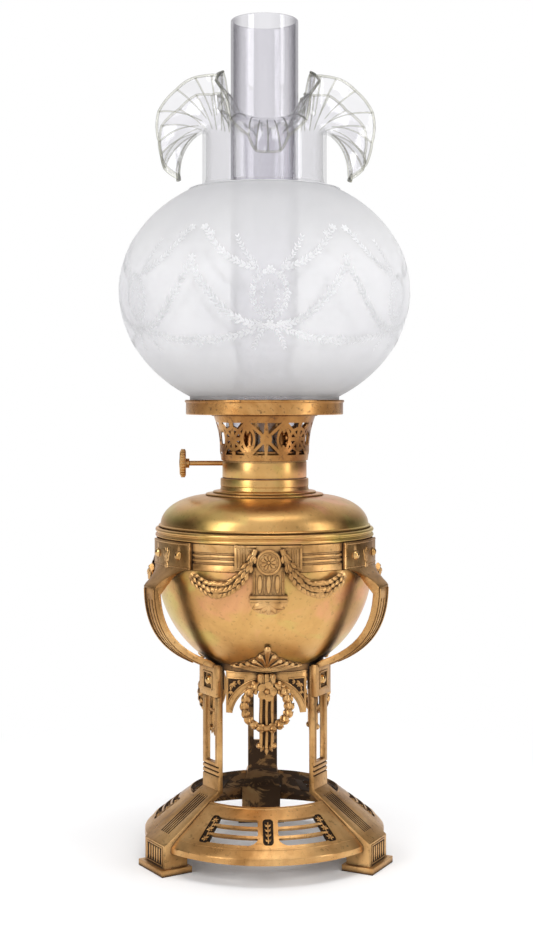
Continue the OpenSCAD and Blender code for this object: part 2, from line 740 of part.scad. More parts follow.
module collar_flange() {
    z0 = dome_top + seat;
    color("goldenrod") rotate_extrude() polygon([
        [collar_in, z0], [flange_r, z0], [flange_r, z0 + flange_t * 0.5], [flange_r - 1.5, z0 + flange_t],
        [collar_r + 5.1, z0 + flange_t], [collar_r + 4.6, flange_top], [collar_in, flange_top]
    ]);
}
module font_collar() {
    z0 = flange_top + seat;
    color("goldenrod") rotate_extrude() polygon([
        [collar_in, z0], [collar_r + 1.4, z0], [collar_r + 0.9, z0 + 0.4],
        [collar_r, collar_top - 0.6], [collar_r - 0.5, collar_top], [collar_in, collar_top]
    ]);
}
module sealing_washer() {
    color("saddlebrown") translate([0, 0, collar_top + seat]) difference() {
        cylinder(r = burner_r - 0.2, h = washer_t);
        translate([0, 0, -1]) cylinder(r = thread_r + slip, h = washer_t + 2);
    }
}
module burner_cup() {
    color("gold") difference() {
        rotate_extrude() polygon([
            [tube_r + seat, cup_z], [burner_r, cup_z], [burner_r, cup_top],
            [cup_in, cup_top], [cup_in, floor_top], [tube_r + seat, floor_top]
        ]);
        translate([-burner_r - 1, wheel_y - spindle_r - seat, spindle_z])
            cube([burner_r, 2 * (spindle_r + seat), burner_h]);
        translate([0, wheel_y, spindle_z]) rod_x(-burner_r - 1, -1, spindle_r + seat);
    }
}
module burner_thread() {
    color("gold") translate([0, 0, cup_z - thread_l]) difference() {
        cylinder(r = thread_r, h = thread_l - seat);
        translate([0, 0, -1]) cylinder(r = thread_r - 1.2, h = thread_l + 2);
    }
}
module air_plate() {
    z0 = cup_top + seat;
    rim = basket_r - basket_wall - slip;
    color("darkgoldenrod") difference() {
        rotate_extrude() polygon([
            [tube_r + seat, z0], [burner_r - 0.3, z0], [burner_r - 0.3, plate_top], [rim, plate_top],
            [rim, plate_top + 3], [rim - basket_wall, plate_top + 3], [rim - basket_wall, plate_top],
            [tube_r + seat, plate_top]
        ]);
        for (i = [0:15])
            rotate([0, 0, i * 22.5 + 11.25]) translate([tube_r + 9, 0, z0 - 1])
                cylinder(r = 1.8, h = 5, $fn = 24);
        for (s = [-1, 1])
            translate([s * wheel_gap - wheel_t / 2 - slip, wheel_y - wheel_r - slip, z0 - 1])
                cube([wheel_t + 2 * slip, 2 * (wheel_r + slip), 3]);
    }
}
module wick_tube() {
    color("peru") difference() {
        union() {
            translate([0, 0, cup_z - 4]) cylinder(r = tube_r, h = tube_top - cup_z + 4);
            translate([0, 0, floor_top + seat]) cylinder(r = tube_r + 2.5, h = 0.8);
        }
        translate([0, 0, cup_z - 5]) cylinder(r = tube_in, h = far);
        for (s = [-1, 1])
            translate([s * wheel_gap - wheel_t / 2 - slip, 5, spindle_z - wheel_r + 0.4])
                cube([wheel_t + 2 * slip, 12, 2 * wheel_r - 0.8]);
        translate([-duct_w / 2 - seat, -tube_r - 2, duct_low - seat])
            cube([duct_w + 2 * seat, 6, duct_h + 2 * seat]);
    }
}
module draught_tube() {
    color("peru") difference() {
        union() {
            translate([0, 0, duct_low - 1.2]) cylinder(r = draught_r, h = tube_top - duct_low + 0.2);
            translate([-duct_w / 2, -tube_r - 0.6, duct_low]) cube([duct_w, tube_r, duct_h]);
        }
        translate([0, 0, duct_low - 0.6]) cylinder(r = draught_r - tube_wall, h = far);
        translate([-duct_w / 2 + tube_wall, -tube_r - 1, duct_low + tube_wall])
            cube([duct_w - 2 * tube_wall, tube_r, duct_h - 2 * tube_wall]);
    }
}
// The wick is a slit tube in the burner, with two tails that hang in the oil
module wick() {
    bend_z = cup_z - 12;
    color("ivory") union() {
        rotate([0, 0, 90]) sector(180 - wick_gap / 2)
            translate([wick_in, bend_z]) square([wick_t, tube_top - bend_z - 1]);
        for (s = [-1, 1])
            translate([s * (wick_in + wick_t / 2) - wick_t / 2 + s * 0.01, -tail_w / 2, tail_low])
                cube([wick_t - 0.4, tail_w, bend_z + 1 - tail_low]);
    }
}
module wick_spindle() {
    color("darkgoldenrod") translate([0, wheel_y, spindle_z]) rod_x(-knob_x + 0.6, spindle_end, spindle_r);
}
module wick_knob() {
    color("goldenrod") translate([-knob_x, wheel_y, spindle_z]) difference() {
        union() {
            rod_x(0.5, knob_t - 0.5, knob_r);
            rod_x(0, knob_t, knob_r - 0.9);
            rod_x(knob_t - 0.1, knob_t + 2.4, spindle_r + 1.6);
        }
        rod_x(0.6 - seat, knob_t + 3, spindle_r + seat);
        for (i = [0:29])
            rotate([i * 12, 0, 0]) translate([0, 0, knob_r + 0.35]) rod_x(-1, knob_t + 1, 0.75, $fn = 16);
    }
}
module wick_wheels() {
    teeth = 10;
    color("peru") for (s = [-1, 1])
        translate([s * wheel_gap - wheel_t / 2, wheel_y, spindle_z]) rotate([0, 90, 0])
            linear_extrude(height = wheel_t) difference() {
                polygon([for (i = [0:2 * teeth - 1]) let (a = i * 180 / teeth)
                    (wheel_r - 0.6 * (i % 2)) * [cos(a), sin(a)]]);
                circle(r = spindle_r + seat, $fn = 32);
            }
}

// Outer radius of the basket at a height above its foot
function basket_at(h) =
    basket_r + 0.9 * min(1, h / 6) + (mouth_r - basket_r - 0.9) * pow(max(0, (h - 6) / (basket_h - 6)), 2.2);
module basket_hole(h0, h1, w0, w1) {
    outwards(basket_r - 8, mouth_r + 4) translate([0, basket_z]) polygon([
        [-w0 / 2, h0], [w0 / 2, h0], [w1 / 2, h1], [-w1 / 2, h1]
    ]);
}
module gallery_basket() {
    n = 10;
    hs = [for (i = [0:n]) basket_h * i / n];
    color("chocolate") difference() {
        rotate_extrude() polygon(concat(
            [for (i = [0:n - 1]) [basket_at(hs[i]), basket_z + hs[i]]],
            [[mouth_r - 0.1, basket_top - basket_wall], [mouth_r + 2, basket_top - basket_wall],
             [mouth_r + 2, basket_top], [mouth_r - basket_wall, basket_top]],
            [for (i = [n - 1:-1:0]) [basket_at(hs[i]) - basket_wall, basket_z + hs[i]]]
        ));
        for (i = [0:7])
            rotate([0, 0, i * 45]) {
                for (s = [-1, 1]) {
                    rotate([0, 0, s * 6.5]) basket_hole(5, 10, 3.6, 0.8);
                    rotate([0, 0, s * 6.5]) basket_hole(21, 25.5, 0.8, 4.6);
                    rotate([0, 0, s * 7.5]) basket_hole(11.5, 19.5, 3.4, 3.6);
                }
                rotate([0, 0, 22.5]) basket_hole(9, 15, 1.6, 5);
                rotate([0, 0, 22.5]) basket_hole(15.6, 22, 5.2, 1.8);
            }
    }
}
module shade_ring() {
    in = mouth_r - basket_wall - 1;
    r = shade_ring_r;
    color("chocolate") rotate_extrude() polygon([
        [in, ring_floor_z], [r - 0.8, ring_floor_z], [r, ring_floor_z + 0.8], [r, shade_ring_top - 1.8],
        [r + 0.8, shade_ring_top - 1.2], [r + 0.8, shade_ring_top - 0.3], [r + 0.4, shade_ring_top],
        [r - ring_wall, shade_ring_top], [r - ring_wall, ring_floor_z + ring_floor_t],
        [in, ring_floor_z + ring_floor_t]
    ]);
}
module chimney_holder() {
    shelf_out = basket_at(shelf_z - basket_z) - basket_wall - seat;
    in = chimney_foot_r + slip;
    color("peru") union() {
        translate([0, 0, shelf_z]) difference() {
            cylinder(r = shelf_out - 0.2, h = shelf_t);
            translate([0, 0, -1]) cylinder(r = chimney_foot_r - 3, h = 4);
        }
        for (i = [0:5])
            rotate([0, 0, i * 60]) sector(9) translate([in, shelf_z + 0.5]) square([0.6, 14]);
    }
}

module chimney() {
    w = chimney_wall;
    r = chimney_r;
    f = chimney_foot_r;
    p = pinch_r;
    color("lightcyan", 0.4) rotate_extrude() polygon([
        [f, chimney_z], [f, pinch_z - 24], [f - 1.5, pinch_z - 14], [f - 4.5, pinch_z - 8],
        [p + 0.6, pinch_z - 3], [p, pinch_z], [p + 0.8, pinch_z + 5], [r - 1, pinch_z + 14],
        [r, pinch_z + 22], [r, chimney_top],
        [r - w, chimney_top], [r - w, pinch_z + 22], [r - w - 1, pinch_z + 14.3], [p + 0.8 - w, pinch_z + 5],
        [p - w, pinch_z], [p + 0.6 - w, pinch_z - 3.3], [f - 4.5 - w, pinch_z - 8.7],
        [f - 1.5 - w, pinch_z - 14.3], [f - w, pinch_z - 24], [f - w, chimney_z]
    ]);
}

// The ruffle: the neck's edge flares by an angle that swings round the rim
ruffle_steps = 5;
ruffle_pleats = 40;
shade_turns = 2 * ruffle_pleats;
globe_steps = 7;
ruffle_t = 1.6;
// Lean of the glass from upright: four folds, those at the back and the front less deep
function ruffle_angle(a) =
    5 + 75 * (1 + cos(4 * a)) * (1 - (sin(a) > 0 ? 0.62 : 0.13) * pow(sin(a), 6))
    + 3.5 * cos(ruffle_pleats * a);
function ruffle_reach(a) = ruffle_l * (1 + 0.18 * sin(ruffle_angle(a)) - 0.02 * cos(ruffle_pleats * a));
// Middle of the glass at angle a, a share u of the way out from the neck
function ruffle_mid(a, u) =
    let (b = ruffle_angle(a) * (0.75 + 0.25 * u), l = ruffle_reach(a) * u)
    [shade_neck_r - shade_wall / 2 + l * sin(b), neck_top + 2 + l * cos(b)];
function ruffle_side(a, u) =
    let (d = ruffle_mid(a, u + 0.02) - ruffle_mid(a, u - 0.02)) [d[1], -d[0]] / norm(d);
function ruffle_point(a, u, s) = ruffle_mid(a, u) + s * ruffle_t / 2 * (u == 0 ? [1, 0] : ruffle_side(a, u));
// Globe and neck from the foot up, on a face that lies w inside the outer one
shade_a0 = acos(shade_foot_r / shade_r);
shade_a1 = acos(shade_neck_r / shade_r);
function shade_wall_up(w) = concat(
    [[shade_foot_r - w, shade_z]],
    arc(0, globe_z, shade_r - w, shade_low - w, -shade_a0, 0, globe_steps),
    arc(0, globe_z, shade_r - w, shade_high - w, shade_a1 / globe_steps, shade_a1, globe_steps - 1),
    [[shade_neck_r - w, neck_top]]
);
function upside(points) = [for (i = [len(points) - 1:-1:0]) points[i]];
// The whole wall at angle a: up the outer face to the rim, and down the inner one
function shade_section(a) = concat(
    shade_wall_up(0),
    [for (k = [0:ruffle_steps]) ruffle_point(a, k / ruffle_steps, 1)],
    [for (k = [ruffle_steps:-1:0]) ruffle_point(a, k / ruffle_steps, -1)],
    upside(shade_wall_up(shade_wall))
);
module shade() {
    m = len(shade_section(0));
    pts = [for (j = [0:shade_turns - 1]) let (a = 360 * j / shade_turns)
        for (p = shade_section(a)) [p[0] * cos(a), p[0] * sin(a), p[1]]];
    color("whitesmoke", 0.6) polyhedron(points = pts, convexity = 8, faces = [
        for (j = [0:shade_turns - 1], i = [0:m - 1], h = [0, 1])
        let (j2 = (j + 1) % shade_turns, i2 = (i + 1) % m)
        h == 0 ? [j * m + i, j * m + i2, j2 * m + i2] : [j * m + i, j2 * m + i2, j2 * m + i]
    ]);
}

at_leg(0) leg();  // leg_back
at_leg(1) leg();  // leg_left
at_leg(2) leg();  // leg_right
at_leg(0) arm();  // arm_back
at_leg(1) arm();  // arm_left
at_leg(2) arm();  // arm_right
at_bay(0) base_segment();  // base_front
at_bay(1) base_segment();  // base_right
at_bay(2) base_segment();  // base_left
at_bay(0) arch();  // arch_front
at_bay(1) arch();  // arch_right
at_bay(2) arch();  // arch_left
at_bay(0) wreath();  // wreath_front
at_bay(1) wreath();  // wreath_right
at_bay(2) wreath();  // wreath_left
at_bay(0) palmette();  // palmette_front
at_bay(1) palmette();  // palmette_right
at_bay(2) palmette();  // palmette_left
support_ring();
leg_studs();
leg_nuts();
arm_studs();
arm_nuts();
bowl();
bowl_lip();
at_bay(0) frieze();  // frieze_front
at_bay(1) frieze();  // frieze_right
at_bay(2) frieze();  // frieze_left
at_bay(0) cartouche();  // cartouche_front
at_bay(1) cartouche();  // cartouche_right
at_bay(2) cartouche();  // cartouche_left
at_bay(0) garlands();  // garlands_front
at_bay(1) garlands();  // garlands_right
at_bay(2) garlands();  // garlands_left
font_tank();
font_shoulder();
collar_flange();
font_collar();
sealing_washer();
burner_cup();
burner_thread();
air_plate();
wick_tube();
draught_tube();
wick();
wick_spindle();
wick_knob();
wick_wheels();
gallery_basket();
shade_ring();
chimney_holder();
chimney();
shade();
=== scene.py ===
# %% [markdown]
# # Kerosene table lamp: the looks
#
# The CAD model gives every sub-part its place and size. This script dresses
# it: finer cast and spun brass, relief ornament, blown glass, and the light.
# Each step says what the piece is, how it could be made, and why it is made
# the way it is here. All sizes in the code are millimetres, and `MM` turns
# them into Blender's metres at the last moment.

import math

import bmesh
import bpy
import numpy as np
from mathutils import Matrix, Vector


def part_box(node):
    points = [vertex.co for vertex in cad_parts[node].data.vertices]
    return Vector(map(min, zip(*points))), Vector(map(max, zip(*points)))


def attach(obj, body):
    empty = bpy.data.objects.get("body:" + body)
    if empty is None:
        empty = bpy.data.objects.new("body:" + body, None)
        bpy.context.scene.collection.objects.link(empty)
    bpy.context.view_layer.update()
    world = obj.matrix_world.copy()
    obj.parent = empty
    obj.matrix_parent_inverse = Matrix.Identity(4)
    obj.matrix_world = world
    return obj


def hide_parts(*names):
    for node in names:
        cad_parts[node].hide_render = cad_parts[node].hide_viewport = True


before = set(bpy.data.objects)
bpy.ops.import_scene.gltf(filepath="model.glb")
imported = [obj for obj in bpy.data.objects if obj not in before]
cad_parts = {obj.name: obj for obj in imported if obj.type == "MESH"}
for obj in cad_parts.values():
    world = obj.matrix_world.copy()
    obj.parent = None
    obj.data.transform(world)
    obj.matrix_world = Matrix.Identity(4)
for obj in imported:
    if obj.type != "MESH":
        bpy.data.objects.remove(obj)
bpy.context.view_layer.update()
scene = bpy.context.scene
MM = 0.001


# %% [markdown]
# ## Camera
#
# The photograph was taken from the front, a little to the left, from about a
# metre away with the lens level with the lamp's burner. A long lens far away
# would flatten the legs; a near one would make the globe too large for the
# base. The distance is the one at which globe, bowl and feet all keep their
# proportions. The lens looks straight ahead, so upright edges stay upright, and
# a small shift puts the burner a little above the middle of the frame.

# %% Camera
EYE_BACK = 1020
EYE_UP = 306
TURN = math.radians(-2.0)
FRAME_TALL = 939  # the photograph's height in pixels
SHIFT_RIGHT = 2
SHIFT_UP = -69.5
camera = bpy.data.objects.new("camera", bpy.data.cameras.new("camera"))
scene.collection.objects.link(camera)
scene.camera = camera
eye = Vector((math.sin(TURN) * EYE_BACK, -math.cos(TURN) * EYE_BACK, EYE_UP)) * MM
aim = Vector((0, 0, EYE_UP)) * MM
camera.location = eye
camera.rotation_euler = (aim - eye).to_track_quat("-Z", "Y").to_euler()
camera.data.sensor_fit = "AUTO"
camera.data.sensor_width = 36
camera.data.lens = 57.5
camera.data.shift_x = SHIFT_RIGHT / FRAME_TALL
camera.data.shift_y = SHIFT_UP / FRAME_TALL
camera.data.clip_end = 50
scene.view_settings.view_transform = "Standard"
# Up to thirty skins of clear glass lie behind each other in the ruffle
scene.cycles.transparent_max_bounces = 40
print("camera at", [round(c, 3) for c in camera.location], "lens", camera.data.lens)


# %% [markdown]
# ## Node wiring
#
# Every material, the world and the tree that repeats shapes are node trees.
# `add` makes one node and feeds its inputs, either with a value or with what
# another node gives. `ramp` turns a number into a grey or a colour.

# %% Node tools
def add(tree, kind, inputs=None, **settings):
    """A new node. Each input is a value, a socket, or a node's first output."""
    node = tree.nodes.new(kind)
    for name, value in settings.items():
        setattr(node, name, value)
    for name, value in (inputs or {}).items():
        if isinstance(value, bpy.types.Node):
            value = value.outputs[0]
        if isinstance(value, bpy.types.NodeSocket):
            tree.links.new(value, node.inputs[name])
        else:
            node.inputs[name].default_value = value
    return node


def tone(value):
    """A grey or a colour with its fourth number; a socket stays as it is."""
    if isinstance(value, (int, float)):
        return value, value, value, 1
    return (*value, 1) if isinstance(value, tuple) else value


def ramp(tree, value, stops):
    """A colour ramp over (position, grey or colour)."""
    node = add(tree, "ShaderNodeValToRGB", {0: value})
    bar = node.color_ramp.elements
    for stop, (position, colour) in ((bar[0], stops[0]), (bar[1], stops[-1])):
        stop.position = position
        stop.color = tone(colour)
    for position, colour in stops[1:-1]:
        bar.new(position).color = tone(colour)
    return node.outputs[0]


def shader(name):
    """An empty node material and its tree."""
    material = bpy.data.materials.new(name)
    material.use_nodes = True
    material.node_tree.nodes.clear()
    return material, material.node_tree


print("node tools ready")


# %% [markdown]
# ## Floor, light and background
#
# A pale floor catches the soft shadow under the feet. Brass is a mirror with
# a colour, so it shows mostly what stands round it: large soft lights at both
# sides and above give it broad highlights, and the world is darker towards
# the sides, which gives the dark edges that make a round brass bowl look
# round. The camera itself sees plain white behind the lamp.

# %% Lights
# Name, place, aim, width, height, power, and whether brass and glass mirror it.
# The last two only light what scatters light: the paper and the frosted glass.
LIGHTS = [
    ("left_softbox", (-1.0, -0.85, 0.75), (0, 0, 0.28), 0.45, 1.2, 7.0, True),
    ("right_softbox", (1.15, -0.6, 0.6), (0, 0, 0.25), 0.3, 1.1, 4.5, True),
    ("top_softbox", (0.1, -0.2, 1.5), (0, 0, 0.2), 0.8, 0.6, 5.0, True),
    ("front_softbox", (0.25, -1.6, 0.9), (0, 0, 0.3), 1.2, 0.9, 15.0, False),
    ("overhead_softbox", (0.0, 0.3, 1.6), (0, 0, 0.1), 1.6, 1.2, 14.0, False),
]
for name, place, target, width, height, power, mirrored in LIGHTS:
    light = bpy.data.lights.new(name, "AREA")
    light.shape = "RECTANGLE"
    light.size = width
    light.size_y = height
    light.energy = power
    lamp = bpy.data.objects.new(name, light)
    scene.collection.objects.link(lamp)
    lamp.location = place
    lamp.rotation_euler = (Vector(target) - Vector(place)).to_track_quat("-Z", "Y").to_euler()
    lamp.visible_glossy = mirrored
print("lights:", len(LIGHTS))


# %% World
WHITE = (1, 1, 1, 1)
world = bpy.data.worlds.new("studio")
scene.world = world
world.use_nodes = True
sky = world.node_tree
sky.nodes.clear()
soft_fill = add(sky, "ShaderNodeBackground", {"Color": (0.82, 0.84, 0.88, 1), "Strength": 0.35})
white_wall = add(sky, "ShaderNodeBackground", {"Color": WHITE, "Strength": 1.0})
# What metal mirrors: a pale wall in front and behind, dark curtains at the sides
direction = add(sky, "ShaderNodeTexCoord").outputs["Generated"]
sideways = add(sky, "ShaderNodeSeparateXYZ", {0: direction}).outputs["X"]
from_middle = add(sky, "ShaderNodeMath", {0: sideways}, operation="ABSOLUTE")
curtains = ramp(sky, from_middle, [(0.28, (0.86, 0.86, 0.87)), (0.9, (0.04, 0.035, 0.03))])
dim_room = add(sky, "ShaderNodeBackground", {"Color": curtains, "Strength": 1.0})
rays = add(sky, "ShaderNodeLightPath").outputs
metal_sees = add(sky, "ShaderNodeMixShader", {0: rays["Is Glossy Ray"], 1: soft_fill, 2: dim_room})
clear_view = add(sky, "ShaderNodeMath", {0: rays["Is Camera Ray"], 1: rays["Is Transmission Ray"]},
                 operation="MAXIMUM")
room = add(sky, "ShaderNodeMixShader", {0: clear_view, 1: metal_sees, 2: white_wall})
add(sky, "ShaderNodeOutputWorld", {"Surface": room})
print("world nodes:", len(sky.nodes))


# %% Floor
PAPER_NEAR = 0.12  # in metres from the axis; from here the paper fades into the wall
PAPER_FAR = 0.42
floor_paper, tree = shader("floor_paper")
paper = add(tree, "ShaderNodeBsdfPrincipled", {"Base Color": (0.96, 0.96, 0.96, 1), "Roughness": 0.9})
spot = add(tree, "ShaderNodeTexCoord").outputs["Object"]
away = add(tree, "ShaderNodeVectorMath", {0: spot}, operation="LENGTH").outputs["Value"]
fade = add(tree, "ShaderNodeMapRange", {"Value": away, "From Min": PAPER_NEAR, "From Max": PAPER_FAR},
           interpolation_type="SMOOTHSTEP")
# Camera, mirror and glass rays meet plain white there, light still falls on paper
rays = add(tree, "ShaderNodeLightPath").outputs
seen = add(tree, "ShaderNodeMath", {0: rays["Is Camera Ray"], 1: rays["Is Glossy Ray"]}, operation="MAXIMUM")
seen = add(tree, "ShaderNodeMath", {0: seen, 1: rays["Is Transmission Ray"]}, operation="MAXIMUM")
seen_fade = add(tree, "ShaderNodeMath", {0: fade, 1: seen}, operation="MULTIPLY")
glow = add(tree, "ShaderNodeEmission", {"Color": WHITE, "Strength": 1.0})
both = add(tree, "ShaderNodeMixShader", {0: seen_fade, 1: paper, 2: glow})
add(tree, "ShaderNodeOutputMaterial", {"Surface": both})
bpy.ops.mesh.primitive_circle_add(vertices=96, radius=4.0, fill_type="NGON", location=(0, 0, 0))
floor = bpy.context.object
floor.name = "floor"
floor.data.materials.append(floor_paper)
print("floor ready")


# %% [markdown]
# ## Small tools for shaping
#
# Nearly every piece of this lamp is either spun or turned (a profile carried
# round the axis), cast with ornament in low relief, cut out of sheet, or built
# from many equal small leaves and beads. So there are six tools: `turned` for
# the first, `carved` for a plate whose height follows a drawing, `swept` for
# beads and ribs, `softened` for a casting whose edges the founder rounded,
# `pierced` for a sheet with a cut pattern, and a Geometry Nodes tree,
# `repeated`, that sets one small shape at many spots. `finish_piece` does what
# every piece needs: material, smooth shading, the body it moves with, and the
# CAD node that it stands for.

# %% Meshes and pieces
WELD = 0.00001  # metres; corners nearer than this are one
FINE_WELD = 0.000004


def mesh_of(name, points, faces):
    """A mesh from points in millimetres."""
    mesh = bpy.data.meshes.new(name)
    mesh.from_pydata([tuple(float(c) * MM for c in p) for p in points], [], faces)
    mesh.validate()
    return mesh


def tidy_normals(mesh):
    """Merges doubles and turns every face outwards."""
    work = bmesh.new()
    work.from_mesh(mesh)
    bmesh.ops.remove_doubles(work, verts=work.verts, dist=WELD)
    bmesh.ops.dissolve_degenerate(work, edges=work.edges, dist=FINE_WELD)
    bmesh.ops.recalc_face_normals(work, faces=work.faces)
    work.to_mesh(mesh)
    work.free()
    return mesh


def finish_piece(name, mesh, finish, body, stands_for=(), angle=35):
    """Turns a mesh into a piece of the lamp."""
    mesh.name = name
    mesh.materials.clear()
    mesh.materials.append(finish)
    mesh.shade_smooth()
    mesh.set_sharp_from_angle(angle=math.radians(angle))
    piece = bpy.data.objects.new(name, mesh)
    scene.collection.objects.link(piece)
    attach(piece, body)
    if stands_for:
        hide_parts(*stands_for)
    triangles = sum(len(p.vertices) - 2 for p in mesh.polygons)
    print(f"{name}: {triangles} triangles, rides on {body}")
    return piece


print("mesh tools ready")


# %% Turned, carved and swept shapes
def skinned(sections, whole):
    """One skin over closed sections that stand round the axis, in order."""
    count, m = len(sections), len(sections[0])
    faces = []
    for j in range(count if whole else count - 1):
        k = (j + 1) % count
        for i in range(m):
            i2 = (i + 1) % m
            faces.append((j * m + i, k * m + i, k * m + i2, j * m + i2))
    if not whole:
        faces.append(tuple(range(m)))
        faces.append(tuple(reversed(range((count - 1) * m, count * m))))
    return tidy_normals(mesh_of("skin", [p for section in sections for p in section], faces))


def turned(profile, steps=144, turn=360.0, start=0.0):
    """A closed outline of (radius, height) carried round the axis."""
    whole = turn >= 360
    sections = []
    for j in range(steps if whole else steps + 1):
        a = math.radians(start + turn * j / steps)
        sections.append([(r * math.cos(a), r * math.sin(a), z) for r, z in profile])
    return skinned(sections, whole)


def carved(place, across, along, thickness):
    """A plate whose front follows place(u, v) -> (point, outwards, height).

    u and v run over the unit square in `across` and `along` steps. The back
    is flat, `thickness` below the plate's own surface.
    """
    front, back = [], []
    for j in range(along + 1):
        for i in range(across + 1):
            point, out, height = place(i / across, j / along)
            front.append(tuple(p + height * o for p, o in zip(point, out)))
            back.append(tuple(p - thickness * o for p, o in zip(point, out)))
    n = across + 1
    size = len(front)
    faces = []
    for j in range(along):
        for i in range(across):
            a, b, c, d = j * n + i, j * n + i + 1, (j + 1) * n + i + 1, (j + 1) * n + i
            faces.append((a, b, c, d))
            faces.append((size + d, size + c, size + b, size + a))
    edge = [j * n for j in range(along + 1)] + [along * n + i for i in range(1, n)]
    edge += [j * n + across for j in range(along - 1, -1, -1)] + [i for i in range(across - 1, 0, -1)]
    for a, b in zip(edge, edge[1:] + edge[:1]):
        faces.append((a, b, size + b, size + a))
    return tidy_normals(mesh_of("carved", front + back, faces))


FORWARDS = (1, 0, 0)
SIDEWAYS = (0, 1, 0)


def from_axis(p):
    """Level, away from the lamp's axis."""
    return p.x, p.y, 0


def swept(path, width, depth, sides=8, outwards=from_axis):
    """An oval tube along a path. width and depth are numbers or functions of 0..1."""
    width_at = width if callable(width) else lambda t: width
    depth_at = depth if callable(depth) else lambda t: depth
    points, faces = [], []
    count = len(path)
    for i, p in enumerate(path):
        p = Vector(p)
        ahead = Vector(path[min(i + 1, count - 1)]) - Vector(path[max(i - 1, 0)])
        ahead.normalize()
        out = Vector(outwards(p) if callable(outwards) else outwards)
        side = ahead.cross(out).normalized()
        out = side.cross(ahead).normalized()
        t = i / (count - 1)
        for k in range(sides):
            a = 2 * math.pi * k / sides
            points.append(p + side * (width_at(t) * math.cos(a)) + out * (depth_at(t) * math.sin(a)))
        if i:
            base = (i - 1) * sides
            for k in range(sides):
                j = (k + 1) % sides
                faces.append((base + k, base + j, base + sides + j, base + sides + k))
    faces.append(tuple(range(sides)))
    faces.append(tuple(reversed(range((count - 1) * sides, count * sides))))
    return tidy_normals(mesh_of("swept", points, faces))


print("shape tools ready")


# %% Pierced sheet
def pierced(left_at, columns, rows, place, thickness, ring=True):
    """A sheet that is left where left_at(u, v) is positive, u and v from 0 to 1.

    Each cell that the edge runs through is clipped where the number is zero,
    so cut edges come out smooth without a fine grid.
    """
    last = columns - 1 if ring else columns
    grid = [[left_at(i / columns, j / rows) for i in range(last + 1)] for j in range(rows + 1)]
    work = bmesh.new()
    corners = {}

    def corner(u, v):
        key = (round(u, 4) % columns if ring else round(u, 4), round(v, 4))
        if key not in corners:
            corners[key] = work.verts.new(Vector(place(key[0] / columns, key[1] / rows)) * MM)
        return corners[key]

    for j in range(rows):
        for i in range(columns):
            square = [(i, j), (i + 1, j), (i + 1, j + 1), (i, j + 1)]
            values = [grid[b][a % columns if ring else a] for a, b in square]
            outline = []
            for k in range(4):
                (a, b), (c, d) = square[k], square[(k + 1) % 4]
                p, q = values[k], values[(k + 1) % 4]
                if p > 0:
                    outline.append((a, b))
                if (p > 0) != (q > 0):
                    t = p / (p - q)
                    outline.append((a + (c - a) * t, b + (d - b) * t))
            points = []
            for a, b in outline:
                v = corner(a, b)
                if v not in points:
                    points.append(v)
            if len(points) > 2:
                work.faces.new(points)
    bmesh.ops.recalc_face_normals(work, faces=work.faces)
    bmesh.ops.solidify(work, geom=work.faces[:], thickness=thickness * MM)
    bmesh.ops.remove_doubles(work, verts=work.verts, dist=FINE_WELD)
    bmesh.ops.recalc_face_normals(work, faces=work.faces)
    sheet = bpy.data.meshes.new("pierced")
    work.to_mesh(sheet)
    work.free()
    return sheet


print("pierced sheet ready")


# %% Joining, turning and rounding meshes
def joined(*meshes):
    """Several meshes as one."""
    work = bmesh.new()
    for mesh in meshes:
        work.from_mesh(mesh)
    whole = bpy.data.meshes.new("joined")
    work.to_mesh(whole)
    work.free()
    return whole


def corners_of(mesh):
    """All x, all y and all z of a mesh's corners, in metres."""
    flat = np.zeros(len(mesh.vertices) * 3)
    mesh.vertices.foreach_get("co", flat)
    return flat.reshape(-1, 3).T


def put_corners(mesh, x, y, z):
    """Moves a mesh's corners there."""
    mesh.vertices.foreach_set("co", np.stack([x, y, z], 1).ravel())
    mesh.update()
    return mesh


def turned_to(mesh, degrees):
    """A copy of a mesh, turned about the lamp's axis."""
    a = math.radians(degrees)
    x, y, z = corners_of(mesh)
    return put_corners(mesh.copy(), x * math.cos(a) - y * math.sin(a), x * math.sin(a) + y * math.cos(a), z)


def facing_out(mesh, x, y, z):
    """A mesh drawn round +Z, turned to face along +X and moved to (x, y, z)."""
    right, up, out = corners_of(mesh)
    return put_corners(mesh, out + x * MM, right + y * MM, up + z * MM)


def softened(node, radius, segments=2, angle=28):
    """A copy of a CAD node with its edges rounded, as a casting's are."""
    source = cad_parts[node]
    work = bmesh.new()
    work.from_mesh(source.data)
    bmesh.ops.remove_doubles(work, verts=work.verts, dist=WELD)
    bmesh.ops.dissolve_limit(work, angle_limit=math.radians(2), verts=work.verts, edges=work.edges)
    bare = bpy.data.meshes.new(node + "_soft")
    work.to_mesh(bare)
    work.free()
    holder = bpy.data.objects.new(node + "_soft", bare)
    scene.collection.objects.link(holder)
    bevel = holder.modifiers.new("rounding", "BEVEL")
    bevel.width = radius * MM
    bevel.segments = segments
    bevel.limit_method = "ANGLE"
    bevel.angle_limit = math.radians(angle)
    bevel.use_clamp_overlap = True
    seen = holder.evaluated_get(bpy.context.evaluated_depsgraph_get())
    result = bpy.data.meshes.new_from_object(seen)
    bpy.data.objects.remove(holder)
    return result


print("all shaping tools ready")


# %% [markdown]
# ## One shape at many spots
#
# Laurel leaves, petals, beads and the etched flowers on the glass are each
# one small shape that is set again and again along a path or round a ring.
# By hand that would be hundreds of copies. The Geometry Nodes tree below does
# it: every spot carries its own outward direction, the direction its leaf
# should point in, and a size. A fixed seed gives each leaf a little swing and
# a little more or less size, so the row looks modelled by hand.

